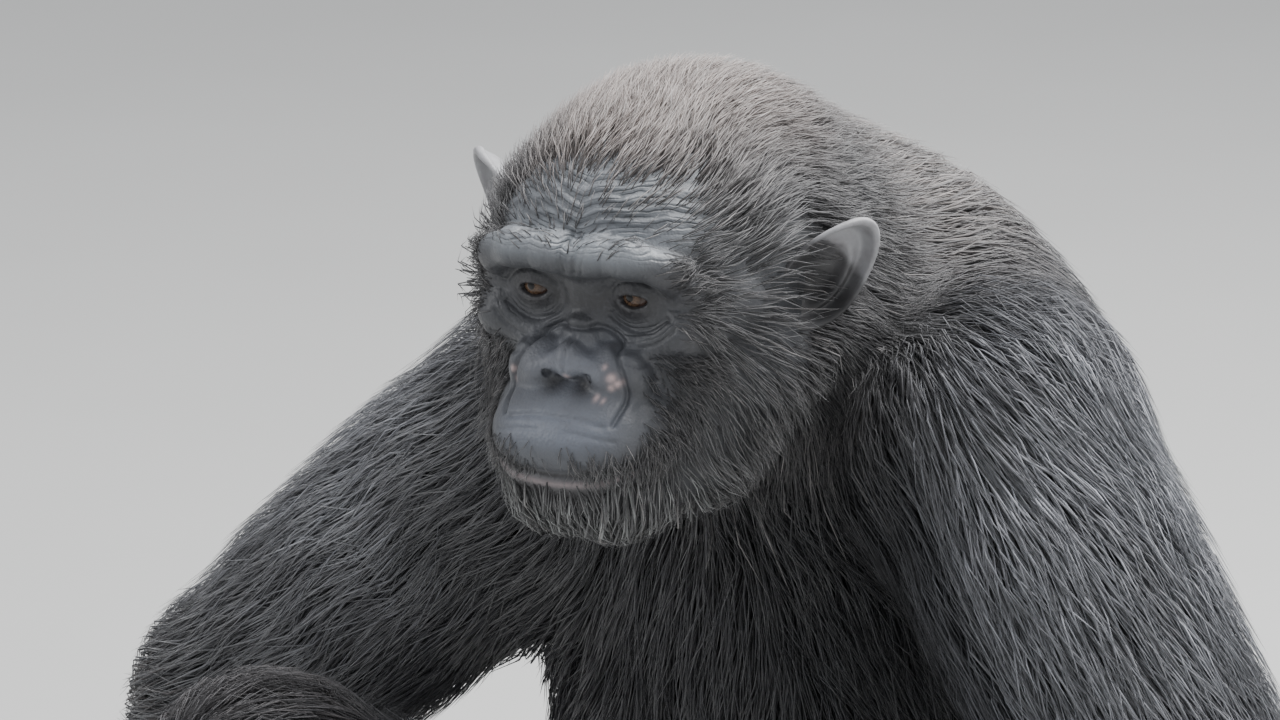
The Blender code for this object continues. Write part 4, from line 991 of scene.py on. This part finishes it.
class Value:
    """A number's socket in a material's node tree. Arithmetic on it adds Math nodes."""

    def __init__(self, tree, socket):
        self.tree, self.socket = tree, socket

    def maths(self, operation, *others, clamp=False):
        """One Math node, with this number first and the others after it."""
        node = self.tree.nodes.new("ShaderNodeMath")
        node.operation, node.use_clamp = operation, clamp
        for entry, item in zip(node.inputs, (self, *others)):
            if isinstance(item, Value):
                self.tree.links.new(item.socket, entry)
            else:
                entry.default_value = item
        return Value(self.tree, node.outputs[0])

    def __add__(self, other):
        return self.maths("ADD", other)

    def __sub__(self, other):
        return self.maths("SUBTRACT", other)

    def __mul__(self, other):
        return self.maths("MULTIPLY", other)

    def __rsub__(self, other):
        return (self * -1) + other

    __radd__, __rmul__ = __add__, __mul__

    def smooth(self, low, high):
        """0 below low and 1 above high, with an even slope between."""
        return ((self - low) * (1 / (high - low))).maths("ADD", 0.0, clamp=True)


class Shader:
    """A material with one Principled shader, its constants set on the shader's own sockets. Its add method
    makes any other node: settings by name, links by socket."""

    def __init__(self, name, **constants):
        self.material = bpy.data.materials.new(name)
        self.material.use_nodes = True
        self.tree = self.material.node_tree
        self.surface = self.tree.nodes["Principled BSDF"]
        self.feed(**constants)

    def add(self, kind, outlet=0, inputs=None, **settings):
        """One node of the kind, and the value at its outlet."""
        node = self.tree.nodes.new("ShaderNode" + kind)
        for key, value in settings.items():
            setattr(node, key, value)
        for key, value in (inputs or {}).items():
            self.put(value, node.inputs[key])
        return Value(self.tree, node.outputs[outlet])

    def put(self, value, socket):
        """A link to the socket, or a constant on it."""
        if isinstance(value, Value):
            self.tree.links.new(value.socket, socket)
        else:
            socket.default_value = value

    def attribute(self, name, outlet="Color"):
        """The mesh's attribute of that name."""
        return self.add("Attribute", outlet, attribute_name=name)

    def noise(self, scale, detail=3.0, place=None):
        """Noise over the place, which is the object's own coordinates unless given."""
        place = place or self.add("TexCoord", "Object")
        return self.add("TexNoise", "Fac", {"Vector": place, "Scale": scale, "Detail": detail})

    def mixed(self, share, one, other, blend="MIX"):
        """The first colour with its share of the other."""
        return self.add("Mix", 2, {0: share, 6: one, 7: other}, data_type="RGBA", blend_type=blend)

    def relief(self, height, strength, distance):
        """A normal bent by the slope of the height, whose unit is the distance in metres."""
        return self.add("Bump", 0, {"Height": height, "Strength": strength, "Distance": distance})

    def feed(self, **links):
        """Values and constants put on the shader's sockets, with _ for a space in a socket's name."""
        for key, value in links.items():
            self.put(value, self.surface.inputs[key.replace("_", " ")])
        return self.material


def skin_tint(p):
    """Colour of the skin: dark under the coat, slate on the face with a lighter, bluer forehead, a painted
    highlight along the brows' tops and painted shade on their fronts, bluer nose and upper lip, darker round
    the eyes, partly the skin's own tone and partly painted shade in the sockets and between the eyes, painted
    shade in the cheeks, the nostrils and the mouth's line, a pinkish lip line, pale spots that are partly
    painted glints, and brown-black hands and feet."""
    q = to_head(p)
    x, z = np.abs(q[:, 0]), q[:, 2]
    bare = bareness(p)
    front = fade(length(q - vec(0, 30, -10)), 95, 125)
    face = np.maximum(bare, 0.75 * front) * fade(length(q), 150, 200)
    lip = z + 83 - 0.0036 * x ** 2

    def bell(across, half_across, up, half_up, power=2):
        """1 at one place of the face, falling off as a bell across and up, flatter across with power 4."""
        return face * np.exp(-((x - across) / half_across) ** power - ((z - up) / half_up) ** 2)

    layers = [
        ((0.060, 0.050, 0.047), bare),
        ((0.066, 0.069, 0.075), face),
        ((0.150, 0.164, 0.180), face * ramp(z, 14, 30) * fade(x, 42, 66) * 0.95),      # forehead
        ((0.300, 0.325, 0.350), face * bump(z, 29, 4.5) * fade(x, 40, 62) * 0.5),      # painted highlight along the brows' tops
        ((0.062, 0.066, 0.072), bell(0, 46, 14, 8, 4) * 0.85),                         # painted shade on the brows' fronts, under their lit tops
        ((0.170, 0.182, 0.210), bell(0, 27, -34, 14)),                                 # nose
        ((0.170, 0.190, 0.230), bell(0, 36, -60, 12, 4) * 0.8),                        # upper lip
        ((0.095, 0.102, 0.114), bell(0, 42, -74, 6, 4) * 0.6),
        ((0.022, 0.021, 0.022), bell(28, 18, -1, 11) * 0.95),                          # round the eyes: the skin's darker tone, and painted shade in the sockets
        # painted shade between the eyes, under the brows
        ((0.030, 0.030, 0.032), bell(0, 14, -4, 11) * 0.85),
        ((0.040, 0.042, 0.046), bell(49, 15, -42, 28) * 0.85),                         # painted shade in the cheeks beside the muzzle
        ((0.014, 0.013, 0.014), bell(9, 7, -41, 5) * 0.9),                             # painted shade in the nostrils
        ((0.330, 0.270, 0.270), face * bump(lip, -4.2, 1.7) * fade(x, 36, 46) * 0.75),
        ((0.010, 0.009, 0.010), face * bump(lip, 0.2, 1.3) * fade(x, 42, 50) * 0.95),  # painted shade in the mouth's line
        ((0.085, 0.088, 0.092), face * fade(z, -98, -92) * ramp(z, -124, -112) * 0.5)]
    # pale spots on the nose, partly pale skin and partly painted glints
    for across, up, size, share in ((25, -35, 2.0, 0.9), (28, -38, 1.7, 0.9), (25, -40, 1.5, 0.8),
                                    (21, -30, 1.3, 0.5), (18, -45, 1.4, 0.6), (22, -46, 1.1, 0.5),
                                    (-33, -38, 1.6, 0.8), (-31, -43, 1.2, 0.6), (1, -36, 1.5, 0.5)):
        away = ((q[:, 0] - across) ** 2 + (z - up) ** 2) / size ** 2
        layers.append(((0.62, 0.47, 0.45), face * np.exp(-away) * share * (q[:, 1] < 20)))
    return painted((0.036, 0.036, 0.038), layers)


def skin_material():
    """Blotches and dark grain over the tint, a bump of pores, fine noise and stretched lines, and furrows as
    the size of a sine of the way over the brows and from the eyes, bent and broken by noise, with painted
    shade darkening the furrows' creases."""
    shade = Shader("skin", Specular_IOR_Level=0.5)
    tint = shade.attribute("tint")
    bare = shade.attribute("bare", "Fac")
    blotch = shade.noise(55, 4).smooth(0.3, 0.7)
    grain = shade.noise(420, 3)
    colour = shade.mixed(blotch * 0.35, tint, (0.55, 0.52, 0.52, 1), "MULTIPLY")
    colour = shade.mixed(grain.smooth(0.45, 0.75) * 0.35 * bare, colour, (0.10, 0.10, 0.11, 1))
    pores = shade.add("TexVoronoi", "Distance", {"Vector": shade.add("TexCoord", "Object"), "Scale": 620.0})
    fine = shade.noise(900, 2)
    place = shade.add("VectorMath", 0, {0: shade.add("TexCoord", "Object"), 1: (520.0, 60.0, 90.0)},
                      operation="MULTIPLY")
    lines = shade.noise(1.0, 2, place)
    height = pores * 0.35 + fine * 0.3 + lines * 0.45 + shade.noise(160, 3) * 0.8
    bend = shade.noise(70, 2)
    broken = shade.noise(48, 2).smooth(0.32, 0.58)
    for name, apart, depth in (("over_brow", 2.3, 1.3), ("round_eye", 3.3, 0.9)):
        place = shade.attribute(name, "Vector")
        way = shade.add("SeparateXYZ", 0, {0: place}) + bend * 5
        furrow = (way * (math.pi / apart)).maths("SINE").maths("ABSOLUTE").smooth(0.0, 0.8)
        mask = shade.add("SeparateXYZ", 1, {0: place}) * broken
        height = height + furrow * mask * depth
        # painted shade in the creases of the furrows
        colour = shade.mixed((1 - furrow) * mask * 0.42, colour, (0.03, 0.032, 0.036, 1))
    return shade.feed(Base_Color=colour, Normal=shade.relief(height, 0.7, 0.0007),
                      Roughness=grain * 0.2 + 0.36)


def fur_material():
    """The tufts' tint, darker in patches, with a soft sheen."""
    shade = Shader("coat", Specular_IOR_Level=0.3, Sheen_Weight=0.25, Sheen_Roughness=0.35)
    patch = shade.noise(26, 2).smooth(0.3, 0.7)
    colour = shade.mixed(patch * 0.45, shade.attribute("tint"), (0.55, 0.53, 0.52, 1), "MULTIPLY")
    return shade.feed(Base_Color=colour, Roughness=shade.noise(300, 1) * 0.2 + 0.50)


def ear_material():
    """The ear's tint, darker in blotches, and a bump of two sizes of noise."""
    shade = Shader("ear_skin", Roughness=0.46)
    blotch = shade.noise(120, 4).smooth(0.35, 0.7)
    colour = shade.mixed(blotch * 0.5, shade.attribute("tint"), (0.5, 0.46, 0.45, 1), "MULTIPLY")
    height = shade.noise(380, 3) * 0.7 + shade.noise(1100, 2) * 0.3
    return shade.feed(Base_Color=colour, Normal=shade.relief(height, 0.5, 0.0006))


def eye_material():
    """By the way from the line of sight: black pupil, streaked brown iris, its dark edge, and dark white."""
    shade = Shader("eye", Roughness=0.12, Specular_IOR_Level=0.3, Coat_Weight=0.2, Coat_Roughness=0.03)
    sight = shade.attribute("sight", "Vector")
    x = shade.add("SeparateXYZ", 0, {0: sight})
    y = shade.add("SeparateXYZ", 1, {0: sight})
    away = (x * x + y * y).maths("SQRT")
    streak = shade.noise(14.0, 3.0, sight)
    iris = shade.mixed(streak.smooth(0.35, 0.7), (0.045, 0.026, 0.017, 1), (0.125, 0.078, 0.048, 1))
    iris = shade.mixed(away.smooth(0.36, 0.47), iris, (0.030, 0.015, 0.010, 1))
    iris = shade.mixed(1 - away.smooth(0.15, 0.175), iris, (0.001, 0.001, 0.001, 1))
    white = shade.mixed(away.smooth(0.5, 0.9), (0.060, 0.038, 0.030, 1), (0.090, 0.060, 0.050, 1))
    return shade.feed(Base_Color=shade.mixed(away.smooth(0.46, 0.50), iris, white))


def nail_material():
    """Two brown-blacks mixed by noise."""
    shade = Shader("nail", Roughness=0.32)
    streak = shade.noise(500, 2)
    return shade.feed(Base_Color=shade.mixed(streak, (0.022, 0.018, 0.017, 1), (0.050, 0.042, 0.038, 1)))


def floor_material():
    """Two pale greys mixed by noise."""
    shade = Shader("floor", Roughness=0.85)
    return shade.feed(Base_Color=shade.mixed(shade.noise(3, 2), (0.46, 0.46, 0.45, 1), (0.50, 0.50, 0.49, 1)))


# Stage, light and camera

FLOOR_HALF = 8.0
FLOOR_DROP = 0.0005          # the floor's top under the animal's flats
WORLD_COLOUR = (0.74, 0.76, 0.80, 1)
WORLD_STRENGTH = 0.85
LIGHTS = (                   # name, place, aim, side and power in watts
    ("top", (0.5, 0.7, 2.8), (0, -0.1, 0.4), 2.4, 205),
    ("left_front", (-2.4, -2.2, 1.8), (0, -0.2, 0.4), 1.6, 32),
    ("right_front", (2.6, -1.6, 1.3), (0, -0.2, 0.4), 1.4, 14),
    ("rim", (1.2, 2.2, 1.7), (0, -0.1, 0.5), 1.2, 30))
CAMERA_TURN = math.radians(28)       # to the animal's left
CAMERA_RISE = math.radians(14)
CAMERA_AWAY = 4.5                    # metres from the eyes
FRAME_SIZE = (1280, 720)             # of the photo, pixels
EYES_PIXEL = (584, 293)              # the middle between the eyes in the photo
PIXELS_A_METRE = 2000                # at the eyes
SENSOR = 36                          # millimetres


def make_stage():
    """A pale floor, a plain pale world and four soft lights that face their aims."""
    corners = [(-1, -1), (1, -1), (1, 1), (-1, 1)]
    floor = new_object("floor", np.array([(x * FLOOR_HALF, y * FLOOR_HALF, -FLOOR_DROP) for x, y in corners]),
                       [(0, 1, 2, 3)], smooth=False)
    floor.data.materials.append(floor_material())
    world = bpy.data.worlds.new("studio")
    world.use_nodes = True
    background = world.node_tree.nodes["Background"]
    background.inputs["Color"].default_value = WORLD_COLOUR
    background.inputs["Strength"].default_value = WORLD_STRENGTH
    bpy.context.scene.world = world
    for name, place, aim, side, power in LIGHTS:
        lamp = bpy.data.lights.new(name, "AREA")
        lamp.size, lamp.energy = side, power
        thing = bpy.data.objects.new(name, lamp)
        thing.location = place
        thing.rotation_euler = (Vector(aim) - Vector(place)).to_track_quat("-Z", "Y").to_euler()
        bpy.context.scene.collection.objects.link(thing)


def make_camera():
    """The photo's camera: it looks along its turn and rise, with the eyes at their pixel and scale."""
    back = vec(math.sin(CAMERA_TURN) * math.cos(CAMERA_RISE), -math.cos(CAMERA_TURN) * math.cos(CAMERA_RISE),
               math.sin(CAMERA_RISE))
    right = vec(math.cos(CAMERA_TURN), math.sin(CAMERA_TURN), 0)
    up = np.cross(back, right)
    aim = EYES + right * (FRAME_SIZE[0] / 2 - EYES_PIXEL[0]) / PIXELS_A_METRE
    aim = aim - up * (FRAME_SIZE[1] / 2 - EYES_PIXEL[1]) / PIXELS_A_METRE
    lens = bpy.data.cameras.new("camera")
    lens.sensor_width = SENSOR
    lens.lens = SENSOR * CAMERA_AWAY * PIXELS_A_METRE / FRAME_SIZE[0]
    lens.clip_end = 100
    camera = bpy.data.objects.new("camera", lens)
    camera.location = aim + back * CAMERA_AWAY
    camera.rotation_euler = Vector(-back).to_track_quat("-Z", "Y").to_euler()
    bpy.context.scene.collection.objects.link(camera)
    bpy.context.scene.camera = camera


# All of it

def build():
    """Every piece, in the place of Blender's own first objects."""
    for name in ("Cube", "Camera", "Light"):
        if name in bpy.data.objects:
            bpy.data.objects.remove(bpy.data.objects[name])
    skin = make_skin()
    skin.data.materials.append(skin_material())
    p = points_of(skin.data)
    set_attribute(skin.data, "tint", "FLOAT_COLOR", skin_tint(p))
    set_attribute(skin.data, "bare", "FLOAT", bareness(p))
    for name, places in zip(("over_brow", "round_eye"), wrinkle_places(p)):
        set_attribute(skin.data, name, "FLOAT_VECTOR", places)
    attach(skin, "root")
    flesh = ["head", "neck", "torso"]
    for word in SIDES.values():
        flesh += [f"{part}_{word}" for part in ("upper_arm", "forearm", "hand", "thigh", "shin", "foot")]
    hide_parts(*flesh)
    ear_skin, eye = ear_material(), eye_material()
    for side in SIDES:
        make_ear(side, ear_skin)
        make_eye(side, eye)
    make_nails(nail_material())
    make_coat(skin, fur_material())
    make_stage()
    make_camera()


build()
